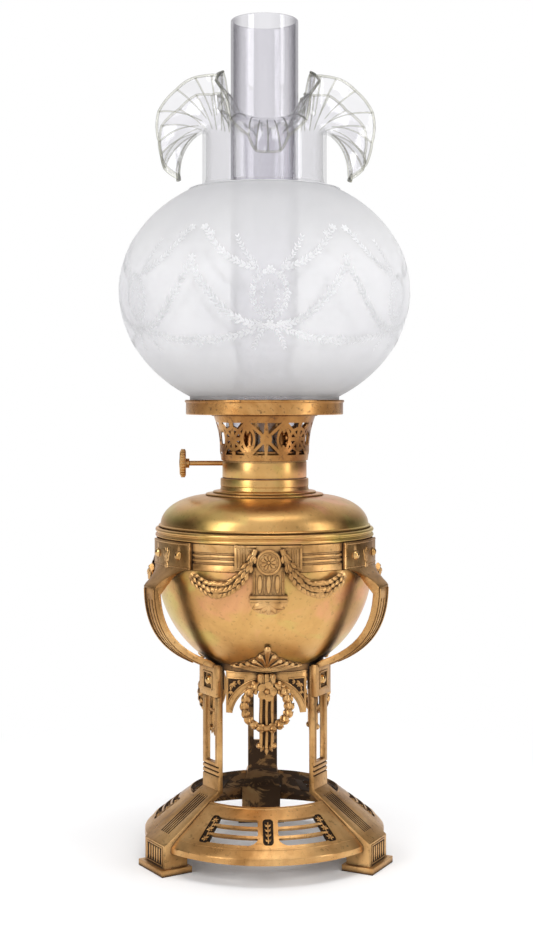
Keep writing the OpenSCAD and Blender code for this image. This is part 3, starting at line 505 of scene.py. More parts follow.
# %% The tree that repeats a shape
def build_repeat_tree():
    """The tree, and the identifier of each of its named inputs."""
    tree = bpy.data.node_groups.new("repeated_shape", "GeometryNodeTree")
    socket = tree.interface.new_socket
    kinds = {"Spots": "Geometry", "Shape": "Object", "Swing in degrees": "Float", "Spread of size": "Float",
             "Seed": "Int", "Finish": "Material"}
    names = {name: socket(name=name, in_out="INPUT", socket_type="NodeSocket" + kind).identifier
             for name, kind in kinds.items()}
    socket(name="Mesh", in_out="OUTPUT", socket_type="NodeSocketGeometry")
    given = add(tree, "NodeGroupInput").outputs

    def spot_value(name, kind="FLOAT_VECTOR"):
        return add(tree, "GeometryNodeInputNamedAttribute", {"Name": name}, data_type=kind).outputs["Attribute"]

    def chance(**more):
        """A number from -1 to 1 for every spot."""
        between = {2: -1, 3: 1, "Seed": given["Seed"], **more}
        return add(tree, "FunctionNodeRandomValue", between, data_type="FLOAT").outputs[1]

    def math_of(operation, *values):
        return add(tree, "ShaderNodeMath", dict(enumerate(values)), operation=operation)

    outwards = add(tree, "FunctionNodeAlignRotationToVector", {"Vector": spot_value("out")}, axis="Z")
    pointing = add(tree, "FunctionNodeAlignRotationToVector",
                   {"Rotation": outwards, "Vector": spot_value("along")}, axis="X", pivot_axis="Z")
    degrees = math_of("MULTIPLY", chance(), given["Swing in degrees"])
    swing = add(tree, "ShaderNodeCombineXYZ", {"Z": math_of("RADIANS", degrees)})
    euler = add(tree, "FunctionNodeEulerToRotation", {0: swing})
    swung = add(tree, "FunctionNodeRotateRotation", {"Rotation": pointing, "Rotate By": euler},
                rotation_space="LOCAL")
    grown = math_of("MULTIPLY_ADD", chance(ID=7), given["Spread of size"], 1)
    size = math_of("MULTIPLY", grown, spot_value("size", "FLOAT"))
    shape = add(tree, "GeometryNodeObjectInfo", {"Object": given["Shape"]}).outputs["Geometry"]
    placed = add(tree, "GeometryNodeInstanceOnPoints",
                 {"Points": given["Spots"], "Instance": shape, "Rotation": swung, "Scale": size})
    real = add(tree, "GeometryNodeRealizeInstances", {0: placed})
    coloured = add(tree, "GeometryNodeSetMaterial", {"Geometry": real, "Material": given["Finish"]})
    add(tree, "NodeGroupOutput", {0: coloured})
    return tree, names


REPEAT_TREE, REPEAT_INPUT = build_repeat_tree()
print("repeat tree with", len(REPEAT_TREE.nodes), "nodes")


# %% Setting shapes at spots
def repeated(spots, shape, swing=0.0, spread=0.0, seed=1, finish=None):
    """One mesh with `shape` at every spot: (point, outwards, along, size)."""
    cloud = mesh_of("spots", [s[0] for s in spots], [])
    for name, column in (("out", 1), ("along", 2)):
        values = cloud.attributes.new(name, "FLOAT_VECTOR", "POINT")
        flat = np.array([tuple(s[column]) for s in spots], dtype=np.float32).ravel()
        values.data.foreach_set("vector", flat)
    sizes = cloud.attributes.new("size", "FLOAT", "POINT")
    sizes.data.foreach_set("value", [float(s[3]) for s in spots])
    holder = bpy.data.objects.new("spots", cloud)
    sample = bpy.data.objects.new("shape", shape)
    scene.collection.objects.link(holder)
    scene.collection.objects.link(sample)
    growth = holder.modifiers.new("repeat", "NODES")
    growth.node_group = REPEAT_TREE
    values = {"Shape": sample, "Swing in degrees": float(swing), "Spread of size": float(spread), "Seed": seed,
              "Finish": finish}
    for name, value in values.items():
        growth[REPEAT_INPUT[name]] = value
    seen = holder.evaluated_get(bpy.context.evaluated_depsgraph_get())
    result = bpy.data.meshes.new_from_object(seen)
    holder.modifiers.remove(growth)
    bpy.data.objects.remove(holder)
    bpy.data.objects.remove(sample)
    return result


# %% The small shapes
LEAF_ROWS = [(0.0, 0.18), (0.2, 0.72), (0.45, 1.0), (0.7, 0.8), (0.88, 0.42), (1.0, 0.06)]


def leaf(length, width, height, bend=0.0, point=1.0):
    """A small leaf along +X with a raised middle rib, lying on its back."""
    points, faces = [], []
    for t, share in LEAF_ROWS:
        half = share ** point * width / 2
        lift = bend * t * t
        rib = height * (0.35 + 0.65 * math.sin(math.pi * min(1, t + 0.12)))
        for y, z in ((-half, 0), (-half / 2, rib * 0.72), (0, rib), (half / 2, rib * 0.72), (half, 0)):
            points.append((t * length, y, lift + z))
    for j in range(0, 5 * len(LEAF_ROWS) - 5, 5):
        for i in range(4):
            faces.append((j + i, j + i + 1, j + i + 6, j + i + 5))
        faces.append((j, j + 5, j + 9, j + 4))
    faces.append((0, 4, 3, 2, 1))
    last = 5 * len(LEAF_ROWS) - 5
    faces.append(tuple(range(last, last + 5)))
    return tidy_normals(mesh_of("leaf", points, faces))


def bead(radius, height, sides=10):
    """A small dome standing on +Z."""
    points = [(0, 0, height)]
    for z, r in ((0.8, 0.6), (0.35, 0.94), (0.0, 1.0)):
        for k in range(sides):
            a = 2 * math.pi * k / sides
            points.append((radius * r * math.cos(a), radius * r * math.sin(a), height * z))
    faces = [(0, 1 + k, 1 + (k + 1) % sides) for k in range(sides)]
    for base in (1, 1 + sides):
        for k in range(sides):
            j = (k + 1) % sides
            faces.append((base + k, base + sides + k, base + sides + j, base + j))
    faces.append(tuple(reversed(range(1 + 2 * sides, 1 + 3 * sides))))
    return tidy_normals(mesh_of("bead", points, faces))


def flower(petals, reach, width, height):
    """A ring of petals with a bead in the middle, facing +Z."""
    spots = []
    for k in range(petals):
        a = 2 * math.pi * k / petals
        along = (math.cos(a), math.sin(a), 0)
        spots.append(([0.22 * reach * c for c in along], (0, 0, 1), along, 1.0))
    ring = repeated(spots, leaf(reach * 0.8, width, height, bend=height * 0.5, point=0.6))
    return joined(ring, bead(reach * 0.24, height * 1.5, 8))


print("leaf with", len(leaf(1, 1, 1).polygons), "faces, bead with", len(bead(1, 1).polygons))


# %% [markdown]
# ## The finishes
#
# The brass has been lacquered, heated and handled for a century: it is golden
# where hands rub it and pinkish and greenish in patches where the heat went.
# Each metal here is built from the same four parts: slow noise for the
# patches, fine noise for the spots, an occlusion term that darkens what lies
# deep, which is painted shade together with dirt in the grooves, and a fine bump.
# Only the tones and amounts differ. `Finish` keeps the node wiring short.

# %% Finish builder
class Finish:
    """Wires up one procedural material."""

    def __init__(self, name):
        self.material, self.tree = shader(name)
        self.where = self.add("TexCoord").outputs["Object"]

    def add(self, kind, inputs=None, **settings):
        return add(self.tree, "ShaderNode" + kind, inputs, **settings)

    def done(self, surface):
        self.add("OutputMaterial", {"Surface": surface})
        return self.material

    def stretched(self, x, y, z):
        return self.add("Mapping", {"Vector": self.where, "Scale": (x, y, z)})

    def noise(self, scale, detail=4.0, rough=0.55, where=None, distortion=0.0):
        return self.add("TexNoise", {"Vector": where or self.where, "Scale": scale, "Detail": detail,
                                     "Roughness": rough, "Distortion": distortion})

    def ramp(self, value, *stops):
        return ramp(self.tree, value, stops)

    def blend(self, amount, low, high, way="MIX"):
        mix = self.add("Mix", {0: amount, 6: tone(low), 7: tone(high)}, data_type="RGBA", blend_type=way)
        return mix.outputs[2]

    def mixed(self, amount, low, high):
        return self.add("MixShader", {0: amount, 1: low, 2: high})

    def math(self, operation, *values):
        return self.add("Math", dict(enumerate(values)), operation=operation)

    def vector(self, operation, *values):
        return self.add("VectorMath", dict(enumerate(values)), operation=operation)

    def hollows(self, depth, low, high):
        """1 in grooves and corners, 0 on open faces: occlusion used as painted shade. depth in millimetres."""
        occlusion = self.add("AmbientOcclusion", {"Distance": depth * MM}, samples=8)
        return self.ramp(occlusion.outputs["AO"], (low, 1.0), (high, 0.0))

    def inward_shade_mask(self):
        """Painted shade on faces that look towards the lamp's axis: 0.6 there, 1 in blotches."""
        outwards = self.vector("NORMALIZE", self.vector("MULTIPLY", self.where, (1, 1, 0)))
        normal = self.add("NewGeometry").outputs["Normal"]
        faces = self.vector("DOT_PRODUCT", outwards, normal).outputs["Value"]
        inner = self.ramp(self.math("MULTIPLY", faces, -1.0), (0.1, 0.0), (0.35, 1.0))
        patches = self.ramp(self.noise(38, 6, 0.65, distortion=0.8), (0.5, 1.0), (0.6, 0.0))
        return self.math("MULTIPLY", inner, self.math("MAXIMUM", patches, 0.6))

    def bumps(self, *layers):
        """A bent normal from layers of (height, strength, distance in mm)."""
        normal = None
        for height, strength, distance in layers:
            inputs = {"Height": height, "Strength": strength, "Distance": distance * MM}
            if normal:
                inputs["Normal"] = normal
            normal = self.add("Bump", inputs)
        return normal


FILM = 0.58  # how far the heat tint hides the brass's own colour
# Metallic on clean faces, and lower where painted shade and dirt fill the hollows
CLEAN, SHADED_AND_DIRTY = 1.0, 0.55  # how metallic a face is
DULL = (0.75, 0.75, 0.75)


def metal(name, tones, grime_and_shade, deep, hollow_shade_span, gloss, spotted, tint=None, inward_shade=False):
    """Old brass or copper.

    tones: three colours from dull to bright, and `grime_and_shade` is the colour
    of the dirt spots and of the painted shade in the hollows. deep: how far a
    hollow is felt, in mm. hollow_shade_span: how open a face may be and still be
    all painted shade and dirt, and from where on it is clean. gloss: roughness of
    bare metal, least and most. spotted: how strong the spots and smears are. The
    last argument also paints shade on faces that look towards the axis.
    """
    f = Finish(name)
    patches = f.noise(26, 5, 0.6, distortion=0.6)
    colour = f.ramp(patches, (0.34, tones[0]), (0.5, tones[1]), (0.68, tones[2]))
    if tint:
        hot = f.noise(17, 3, 0.5, f.stretched(1.0, 1.0, 1.5), 1.2)
        film = f.ramp(hot, (0.36, tint[0]), (0.46, tones[1]), (0.55, tones[1]), (0.66, tint[1]))
        colour = f.blend(FILM, colour, film)
    spots = f.ramp(f.noise(420, 2, 0.5), (0.6, 0.0), (0.72, spotted))
    colour = f.blend(spots, colour, grime_and_shade)
    smears = f.ramp(f.noise(70, 6, 0.7, f.stretched(1, 1, 0.35)), (0.5, 0.0), (0.75, spotted * 0.8))
    colour = f.blend(smears, colour, tones[0])
    # Painted shade and dirt in hollows and corners, from ambient occlusion
    shade_and_dirt_mask = f.hollows(deep, *hollow_shade_span)
    # Cast pieces also get painted shade on their faces towards the axis
    if inward_shade:
        shade_and_dirt_mask = f.math("MAXIMUM", shade_and_dirt_mask, f.inward_shade_mask())
    wear = f.ramp(f.noise(48, 6, 0.65), (0.3, gloss[0]), (0.7, gloss[1]))
    return f.done(f.add("BsdfPrincipled", {
        "Base Color": f.blend(shade_and_dirt_mask, colour, grime_and_shade),
        "Metallic": f.ramp(shade_and_dirt_mask, (0.0, CLEAN), (1.0, SHADED_AND_DIRTY)),
        "Roughness": f.blend(shade_and_dirt_mask, wear, DULL),
        "Normal": f.bumps((f.noise(900, 3, 0.6), 0.10, 0.15), (f.noise(130, 4, 0.6), 0.12, 0.5)),
    }))


print("finish builder ready")


# %% Metals
PINK_AND_GREEN = ((0.81, 0.375, 0.20), (0.63, 0.53, 0.15))
spun_brass = metal("spun_brass_finish", ((0.44, 0.22, 0.07), (0.68, 0.39, 0.135), (0.82, 0.54, 0.22)),
                   (0.10, 0.05, 0.02), 5.0, (0.3, 0.72), (0.27, 0.4), 0.22, PINK_AND_GREEN)
# Cast brass carries painted shade on its faces that look towards the axis
cast_brass = metal("cast_brass_finish", ((0.34, 0.17, 0.055), (0.58, 0.32, 0.12), (0.76, 0.47, 0.20)),
                   (0.055, 0.028, 0.012), 4.0, (0.5, 0.9), (0.24, 0.46), 0.4, inward_shade=True)
relief_brass = metal("relief_brass_finish", ((0.36, 0.18, 0.06), (0.62, 0.345, 0.13), (0.80, 0.50, 0.22)),
                     (0.045, 0.022, 0.01), 3.0, (0.5, 0.93), (0.22, 0.4), 0.3)
# A darker copy of the cast brass: painted shade for the support ring under the bowl
shaded_brass = metal("shaded_brass_finish", ((0.06, 0.035, 0.02), (0.16, 0.085, 0.04), (0.42, 0.24, 0.10)),
                   (0.03, 0.025, 0.02), 6.0, (0.4, 0.9), (0.35, 0.6), 0.6)
ground_brass = metal("ground_brass_finish", ((0.02, 0.014, 0.01), (0.05, 0.03, 0.018), (0.12, 0.07, 0.035)),
                     (0.02, 0.015, 0.01), 6.0, (0.4, 0.9), (0.45, 0.7), 0.5)
stud_brass = metal("stud_brass_finish", ((0.42, 0.22, 0.07), (0.62, 0.36, 0.13), (0.78, 0.50, 0.22)),
                   (0.08, 0.05, 0.03), 2.0, (0.4, 0.8), (0.16, 0.3), 0.2)
copper_brass = metal("copper_brass_finish", ((0.25, 0.10, 0.032), (0.46, 0.22, 0.068), (0.68, 0.38, 0.14)),
                     (0.07, 0.04, 0.03), 2.6, (0.4, 0.8), (0.2, 0.42), 0.6)
burner_brass = metal("burner_brass_finish", ((0.36, 0.18, 0.06), (0.60, 0.33, 0.12), (0.74, 0.46, 0.19)),
                     (0.08, 0.05, 0.03), 3.0, (0.4, 0.8), (0.28, 0.44), 0.4)
print("metals:", sum(m.name.endswith("brass_finish") for m in bpy.data.materials))


# %% [markdown]
# ## Glass, cotton and leather
#
# The chimney is clear soda glass with a faint grey tint. The globe is the
# same glass, acid-frosted outside: it is pale and scatters the light. Its
# colour carries painted shade: dark towards the foot, where the brass parts
# inside shadow it, and darker towards the top. Above the frost edge the neck
# and the ruffle stay clear. Cycles has real refraction, but thin blown glass
# hardly bends light, so glass and frost are mixed from a clear transparent
# part and a glossy skin whose share grows towards the edge, as on real thin
# glass. That also stays clean with few samples.

# %% Clear glass
SKIN = (0.95, 0.95, 0.96, 1)


def mirror_share(f, most=0.7):
    """How slantwise a skin is seen, and the share that it mirrors then."""
    slant = f.add("LayerWeight", {"Blend": 0.5}).outputs["Facing"]
    return slant, f.math("MULTIPLY_ADD", f.math("POWER", slant, 4.0), most, 0.045)


def clear_glass(name, tint, edge_tint, edge_from=0.3, edge_to=0.95):
    """Thin clear glass: see-through face on, darker and mirror-like at its edges."""
    f = Finish(name)
    slant, share = mirror_share(f)
    streaks = f.noise(45, 4, 0.5, f.stretched(1, 1, 0.15))
    film = f.ramp(streaks, (0.35, (0.955, 0.955, 0.96)), (0.65, 1.0))
    colour = f.blend(1, f.ramp(slant, (edge_from, tint), (edge_to, edge_tint)), film, "MULTIPLY")
    clear = f.add("BsdfTransparent", {"Color": colour})
    gloss = f.add("BsdfGlossy", {"Color": SKIN, "Roughness": 0.05, "Normal": f.bumps((streaks, 0.12, 0.5))})
    return f.done(f.mixed(share, clear, gloss))


chimney_glass = clear_glass("chimney_glass", (0.925, 0.92, 0.935), (0.58, 0.57, 0.59))
rim_glass = clear_glass("rim_glass", (0.90, 0.90, 0.86), (0.25, 0.25, 0.19), 0.3, 0.9)
print("clear glass:", chimney_glass.name, rim_glass.name)


# %% Frosted and etched glass
FROST_TOP = 449.0
FROST_FOOT = 300.0
FROST_EDGE = 0.8


def frosted_glass():
    """Frost below FROST_TOP, clear above it, with painted shade darkest at the foot and darker towards the top.
    """
    f = Finish("globe_glass")
    z = f.add("SeparateXYZ", {0: f.where}).outputs["Z"]
    height = f.add("MapRange", {"Value": z, "From Min": FROST_FOOT * MM, "From Max": FROST_TOP * MM})
    # Painted shade by height: the brass parts' shadow at the foot, darker towards the top, lightest in the
    # middle
    painted_shade_by_height = f.ramp(height, (0.0, (0.42, 0.40, 0.38)), (0.12, 0.70), (0.3, 0.95), (0.6, 0.98), (0.82, 0.76),
                   (1.0, (0.60, 0.60, 0.605)))
    clouds = f.ramp(f.noise(14, 5, 0.5), (0.3, (0.90, 0.90, 0.91)), (0.7, 1.0))
    colour = f.blend(1, painted_shade_by_height, clouds, "MULTIPLY")
    pale = f.add("BsdfPrincipled", {"Base Color": colour, "Roughness": 0.55, "IOR": 1.45,
                                    "Normal": f.bumps((f.noise(900, 3, 0.5), 0.25, 0.1))})
    milk = f.mixed(0.45, pale, f.add("BsdfTranslucent", {"Color": colour}))
    # Seen slantwise the frost closes up; straight on, the chimney shows through
    slant, share = mirror_share(f, 0.3)
    cover = f.add("MapRange", {"Value": slant, "To Min": 0.37, "To Max": 0.97})
    frost = f.mixed(cover, f.add("BsdfTransparent", {"Color": (0.975, 0.973, 0.978, 1)}), milk)
    rind = f.add("BsdfTransparent", {"Color": f.ramp(slant, (0.5, (0.965, 0.963, 0.972)), (0.99, 0.86))})
    neck = f.mixed(share, rind, f.add("BsdfGlossy", {"Color": SKIN, "Roughness": 0.04}))
    above = f.add("MapRange", {"Value": z, "From Min": (FROST_TOP - FROST_EDGE) * MM,
                               "From Max": (FROST_TOP + FROST_EDGE) * MM})
    return f.done(f.mixed(above, frost, neck))


def etched_finish():
    """The cut pattern: a little paler and smoother than the frost round it."""
    f = Finish("etched_glass")
    worn = f.noise(60, 2, 0.5)
    colour = f.ramp(worn, (0.35, (0.73, 0.73, 0.735)), (0.65, (0.82, 0.82, 0.825)))
    rough = f.add("MapRange", {"Value": worn, "To Min": 0.35, "To Max": 0.6})
    bump = f.bumps((worn, 0.2, 0.1))
    pale = f.add("BsdfPrincipled", {"Base Color": colour, "Roughness": rough, "Normal": bump})
    return f.done(f.mixed(0.35, pale, f.add("BsdfTranslucent", {"Color": colour})))


globe_glass = frosted_glass()
etched_glass = etched_finish()
print("frosted glass up to", FROST_TOP, "mm")


# %% Cotton and leather
def soft_finish(f, tones, grain, roughness, bump):
    """Mottled, dull, with a fine grain. roughness: (pattern, low, high)."""
    pattern, low, high = roughness
    return f.done(f.add("BsdfPrincipled", {
        "Base Color": f.ramp(f.noise(grain, 4), (0.35, tones[0]), (0.7, tones[1])),
        "Roughness": f.ramp(pattern, (0.3, low), (0.7, high)),
        "Normal": f.bumps(bump),
    }))


cotton = Finish("wick_cotton_finish")
weave = cotton.noise(1500, 2, 0.5, cotton.stretched(1, 1, 0.3))
wick_cotton = soft_finish(cotton, ((0.52, 0.44, 0.33), (0.80, 0.75, 0.64)), 200,
                          (weave, 0.85, 0.98), (weave, 0.5, 0.3))
leather = Finish("washer_leather_finish")
washer_leather = soft_finish(leather, ((0.12, 0.06, 0.03), (0.28, 0.15, 0.07)), 300,
                             (leather.noise(500, 3), 0.6, 0.85), (leather.noise(1400, 2), 0.4, 0.2))
print("finishes:", len(bpy.data.materials))


# %% [markdown]
# ## Bowl, lip and font: spun brass
#
# A spinner presses a turning sheet of brass over a wooden form, so bowl and
# tank shoulder are perfectly round, with a soft wall line and a rolled edge.
# Turning a profile round the axis is the same process in code. The profile is
# drawn once with many points, so that the long reflections run smoothly, and
# the shoulder swells to a rounded edge just inside the rolled lip.

# %% Profiles shared by the spun pieces
def oval(cx, cz, rx, rz, a0, a1, steps):
    """Points on an ellipse's arc, in degrees."""
    angles = [math.radians(a0 + (a1 - a0) * i / steps) for i in range(steps + 1)]
    return [(cx + rx * math.cos(a), cz + rz * math.sin(a)) for a in angles]


def top_of(node):
    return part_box(node)[1].z / MM


def low_of(node):
    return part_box(node)[0].z / MM


def reach_of(node):
    return max(abs(c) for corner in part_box(node) for c in corner[:2]) / MM


BOWL_R = reach_of("bowl")
BOWL_LOW = low_of("bowl")
BOWL_H = 75.4  # from the widest place down to where the curve would close
BOWL_Z = BOWL_LOW + 0.975 * BOWL_H
SHEET = 1.2
BAND_LOW = low_of("frieze_front")
BAND_TOP = top_of("frieze_front")
BAND_R = 73.2
WALL_R = BOWL_R - 1.5
LIP_LOW = low_of("bowl_lip")
LIP_TOP = top_of("bowl_lip")
print("bowl: widest at", round(BOWL_Z, 1), "frieze", round(BAND_LOW, 1), "to", round(BAND_TOP, 1))


def bowl_at(z):
    """Radius of the bowl's outer face at a height."""
    return BOWL_R if z > BOWL_Z else BOWL_R * math.sqrt(max(0, 1 - ((BOWL_Z - z) / BOWL_H) ** 2))


# %% Bowl and lip
bowl_foot = math.degrees(math.asin((BOWL_Z - BOWL_LOW) / BOWL_H))
bowl_outline = (
    [(0.0, BOWL_LOW)]
    + oval(0, BOWL_Z, BOWL_R, BOWL_H, -bowl_foot, 0, 48)
    + [(BOWL_R, BAND_LOW - 0.3), (BOWL_R - 0.2, BAND_LOW - 0.1), (WALL_R, BAND_LOW - 0.1),
       (WALL_R, LIP_TOP - 1.3), (WALL_R - SHEET, LIP_TOP - 1.3), (WALL_R - SHEET, BAND_LOW - SHEET)]
    + oval(0, BOWL_Z, BOWL_R - SHEET, BOWL_H - SHEET, 0, -bowl_foot + 0.5, 40)
    + [(0.0, BOWL_LOW + SHEET)]
)
finish_piece("bowl_spun", turned(bowl_outline, 192), spun_brass, "stand", ["bowl"])

LIP_R = reach_of("bowl_lip")
LIP_MID = LIP_LOW + 0.47 * (LIP_TOP - LIP_LOW)
lip_outline = (
    [(WALL_R + 0.1, LIP_LOW)]
    + oval(LIP_R - 1.2, LIP_LOW + 1.25, 1.2, 1.25, -90, 50, 6)
    + [(LIP_R - 1.1, LIP_MID)]
    + oval(LIP_R - 1.6, (LIP_MID + LIP_TOP) / 2 + 0.2, 1.6, (LIP_TOP - LIP_MID) / 2 - 0.2, -70, 90, 10)
    + [(WALL_R - SHEET, LIP_TOP), (WALL_R - SHEET, LIP_TOP - SHEET), (WALL_R + 0.1, LIP_TOP - SHEET)]
)
finish_piece("bowl_lip_rolled", turned(lip_outline, 192), spun_brass, "stand", ["bowl_lip"])


# %% Font: tank, shoulder and collar
TANK_Z = LIP_TOP + 0.3
TANK_R = 70.5
DOME_ROUND = 32.5
DOME_TOP = top_of("font_shoulder")
SHOULDER_Z = low_of("font_shoulder")
BEAD_Z = TANK_Z + 1.4
DOME_H = DOME_TOP - BEAD_Z
BODY_R = 66.0
TANK_LOW = low_of("font_tank")
TANK_H = 60.0
NECK_OF_TANK = WALL_R - 1.5
COLLAR_HOLE = 27.0
TANK_WALL = 1.0
tank_foot = math.degrees(math.asin((BOWL_Z - TANK_LOW) / TANK_H))
tank_outline = (
    [(0.0, TANK_LOW)]
    + oval(0, BOWL_Z, BODY_R, TANK_H, -tank_foot, 0, 24)
    + [(BODY_R, BAND_TOP - 3), (NECK_OF_TANK, BAND_TOP + 2), (NECK_OF_TANK, TANK_Z), (LIP_R - 3.0, TANK_Z),
       (LIP_R - 2.8, TANK_Z + 0.3), (LIP_R - 3.0, TANK_Z + 0.6), (NECK_OF_TANK - TANK_WALL, TANK_Z + 0.6),
       (NECK_OF_TANK - TANK_WALL, BAND_TOP + 1.7), (BODY_R - TANK_WALL, BAND_TOP - 3.3)]
    + oval(0, BOWL_Z, BODY_R - TANK_WALL, TANK_H - TANK_WALL, 0, -tank_foot + 1, 24)
    + [(0.0, TANK_LOW + TANK_WALL)]
)
finish_piece("font_tank_spun", turned(tank_outline, 144), spun_brass, "font", ["font_tank"], 30)

shoulder_outline = (
    [(COLLAR_HOLE, DOME_TOP)]
    + oval(TANK_R - DOME_ROUND, BEAD_Z, DOME_ROUND, DOME_H, 90, 6, 28)
    + [(TANK_R + 0.1, BEAD_Z + 0.4), (TANK_R + 0.9, BEAD_Z + 0.05), (LIP_R - 2.4, BEAD_Z - 0.15),
       (LIP_R - 2.2, BEAD_Z - 0.4), (LIP_R - 2.4, SHOULDER_Z), (TANK_R - 1.6, SHOULDER_Z)]
    + oval(TANK_R - DOME_ROUND, BEAD_Z, DOME_ROUND - 1.6, DOME_H - TANK_WALL, 0, 90, 20)
    + [(COLLAR_HOLE, DOME_TOP - TANK_WALL)]
)
finish_piece("font_shoulder_spun", turned(shoulder_outline, 192), spun_brass, "font",
             ["font_shoulder"], 30)

COLLAR_Z = low_of("collar_flange")
COLLAR_TOP = top_of("font_collar")
COLLAR_R = 29.9
FLANGE_R = reach_of("collar_flange")
collar_outline = (
    [(COLLAR_HOLE, COLLAR_Z), (FLANGE_R - 0.3, COLLAR_Z)]
    + oval(FLANGE_R - 0.6, COLLAR_Z + 0.6, 0.6, 0.6, -60, 80, 5)
    + [(FLANGE_R - 1.9, COLLAR_Z + 1.4), (COLLAR_R + 5.6, COLLAR_Z + 1.5)]
    + oval(COLLAR_R + 4.4, COLLAR_Z + 2.2, 0.7, 0.7, -60, 90, 5)
    + [(COLLAR_R + 1.6, COLLAR_Z + 3.1)]
    + oval(COLLAR_R + 1.1, COLLAR_Z + 4.1, 1.0, 1.0, 270, 180, 4)[1:]
    + [(COLLAR_R - 0.25, COLLAR_TOP - 5.4), (COLLAR_R, COLLAR_TOP - 5.0), (COLLAR_R, COLLAR_TOP - 0.7)]
    + oval(COLLAR_R - 0.7, COLLAR_TOP - 0.7, 0.7, 0.7, 0, 90, 4)
    + [(COLLAR_HOLE, COLLAR_TOP)]
)
finish_piece("font_collar_turned", turned(collar_outline, 144), spun_brass, "font",
             ["collar_flange", "font_collar"], 30)


# %% [markdown]
# ## Cast legs and arms
#
# The legs and arms were cast in sand from a carved pattern and filed by hand,
# so no edge on them is sharp. The CAD solid already has the slot, the bands
# and the flutes. A copy of it is merged, its flat faces are joined, and a
# bevel rounds what is left: that is the file's work. What a pattern carver
# adds on top, the fillets round the slot and the husks between the studs, is
# set on that casting as small bars and leaves.

# %% Helpers for castings
LEG_TURNS = {"back": 90, "left": 210, "right": 330}
BAY_TURNS = {"front": 270, "right": 30, "left": 150}


def bar(x, y, z, edge=0.3, tilt=0.0, pivot=(0, 0)):
    """A bar with rounded edges, tilted in degrees about (x, z) = pivot."""
    work = bmesh.new()
    bmesh.ops.create_cube(work, size=1)
    for v in work.verts:
        v.co = Vector([(lo + hi) / 2 + c * (hi - lo) for c, (lo, hi) in zip(v.co, (x, y, z))])
    bmesh.ops.bevel(work, geom=work.edges[:], offset=edge, segments=2, affect="EDGES", profile=0.5)
    a = math.radians(tilt)
    for v in work.verts:
        dx, dz = v.co.x - pivot[0], v.co.z - pivot[1]
        v.co.x = pivot[0] + dx * math.cos(a) + dz * math.sin(a)
        v.co.z = pivot[1] - dx * math.sin(a) + dz * math.cos(a)
        v.co *= MM
    mesh = bpy.data.meshes.new("bar")
    work.to_mesh(mesh)
    work.free()
    return mesh


def on_drum(radius, degrees, z, lift=0.0):
    """(point, outwards) on a cylinder round the axis, for a bay that faces +X."""
    a = math.radians(degrees)
    out = (math.cos(a), math.sin(a), 0.0)
    return ((radius + lift) * out[0], (radius + lift) * out[1], z), out


def spray(point, out, degrees, size=1.0):
    """Spots for leaves that fan out from one point. 0 degrees points up."""
    out = Vector(out).normalized()
    side = Vector((0, 0, 1)).cross(out).normalized()
    up = out.cross(side).normalized()
    spots = []
    for d in degrees:
        a = math.radians(d)
        spots.append((point, tuple(out), tuple(up * math.cos(a) + side * math.sin(a)), size))
    return spots


def three(name, build, finish, places, angle=35):
    """Builds one piece and sets a copy of it at each of three places."""
    mesh = build()
    for side, degrees in places.items():
        nodes = [f"{name}_{side}"]
        finish_piece(f"{name}_{side}_cast", turned_to(mesh, degrees), finish, "stand", nodes, angle)


def unturned(node, degrees, radius):
    """A softened copy of a CAD node, turned back so that it faces +X."""
    return turned_to(softened(node, radius), -degrees)


print("casting tools ready")


# %% Legs
LEG_FACE = 42.4
SLOT_HALF = 6.2
SLOT_LOW, SLOT_TOP = 65.6, 109.0
FOOT_H = 19.0
KNEE_Z = 48.0
FOOT_FACE = 84.0
REED_STEP = 3.3
FRAME_LOW, FRAME_TOP = 5.4, 17.2  # of the raised frame round the foot's reeds
FRAME_HALF = 10


def leg():
    parts = [unturned("leg_back", 90, 0.5)]
    for side in (-1, 1):
        y = side * (SLOT_HALF + 0.75)
        parts.append(bar((LEG_FACE - 0.3, LEG_FACE + 0.3), (y - 0.4, y + 0.4), (SLOT_LOW, SLOT_TOP), 0.2))
    reed_face = (FOOT_FACE - 0.3, FOOT_FACE + 0.55)
    for k in range(-2, 3):
        y = k * REED_STEP
        parts.append(bar(reed_face, (y - 0.95, y + 0.95), (8.2, 16.2), 0.35))
        parts.append(bar(reed_face, (y - 0.55, y + 0.55), (6.4, 9.2), 0.3))
    frame_face = (FOOT_FACE - 0.3, FOOT_FACE + 0.5)
    for z in (FRAME_LOW, FRAME_TOP):
        parts.append(bar(frame_face, (-FRAME_HALF - 0.5, FRAME_HALF + 0.5), (z - 0.5, z + 0.5), 0.3))
    for y in (-FRAME_HALF, FRAME_HALF):
        parts.append(bar(frame_face, (y - 0.5, y + 0.5), (FRAME_LOW, FRAME_TOP), 0.3))
    return joined(*parts)


three("leg", leg, cast_brass, LEG_TURNS)


# %% Dark grounds
# Thin, nearly black plates lie in the ground between raised ornament, each set
# a piece of its own because its finish is another one. On the feet they are
# painted shade in the engraved grooves and behind the reeds.
def grounds(name, plates, places):
    """Thin dark plates under ornament, one piece at each of three places."""
    mesh = joined(*plates)
    for side, degrees in places.items():
        finish_piece(f"{name}_ground_{side}", turned_to(mesh, degrees), ground_brass, "stand")


PLATE_ANGLE = math.atan((KNEE_Z - FOOT_H) / (FOOT_FACE - LEG_FACE))
GROOVE_STEP = 2.3


def plate_groove(y):
    """One engraved line down the sloping foot plate, as a nearly black rib: painted shade in the groove."""
    c, s = math.cos(PLATE_ANGLE), math.sin(PLATE_ANGLE)
    line = [(LEG_FACE + c * way, y, KNEE_Z - s * way) for way in np.linspace(8, 42, 10)]
    return swept(line, 0.6, 0.16, outwards=(s, 0, c))


grooves = [plate_groove(k * GROOVE_STEP) for k in range(-2, 3)]
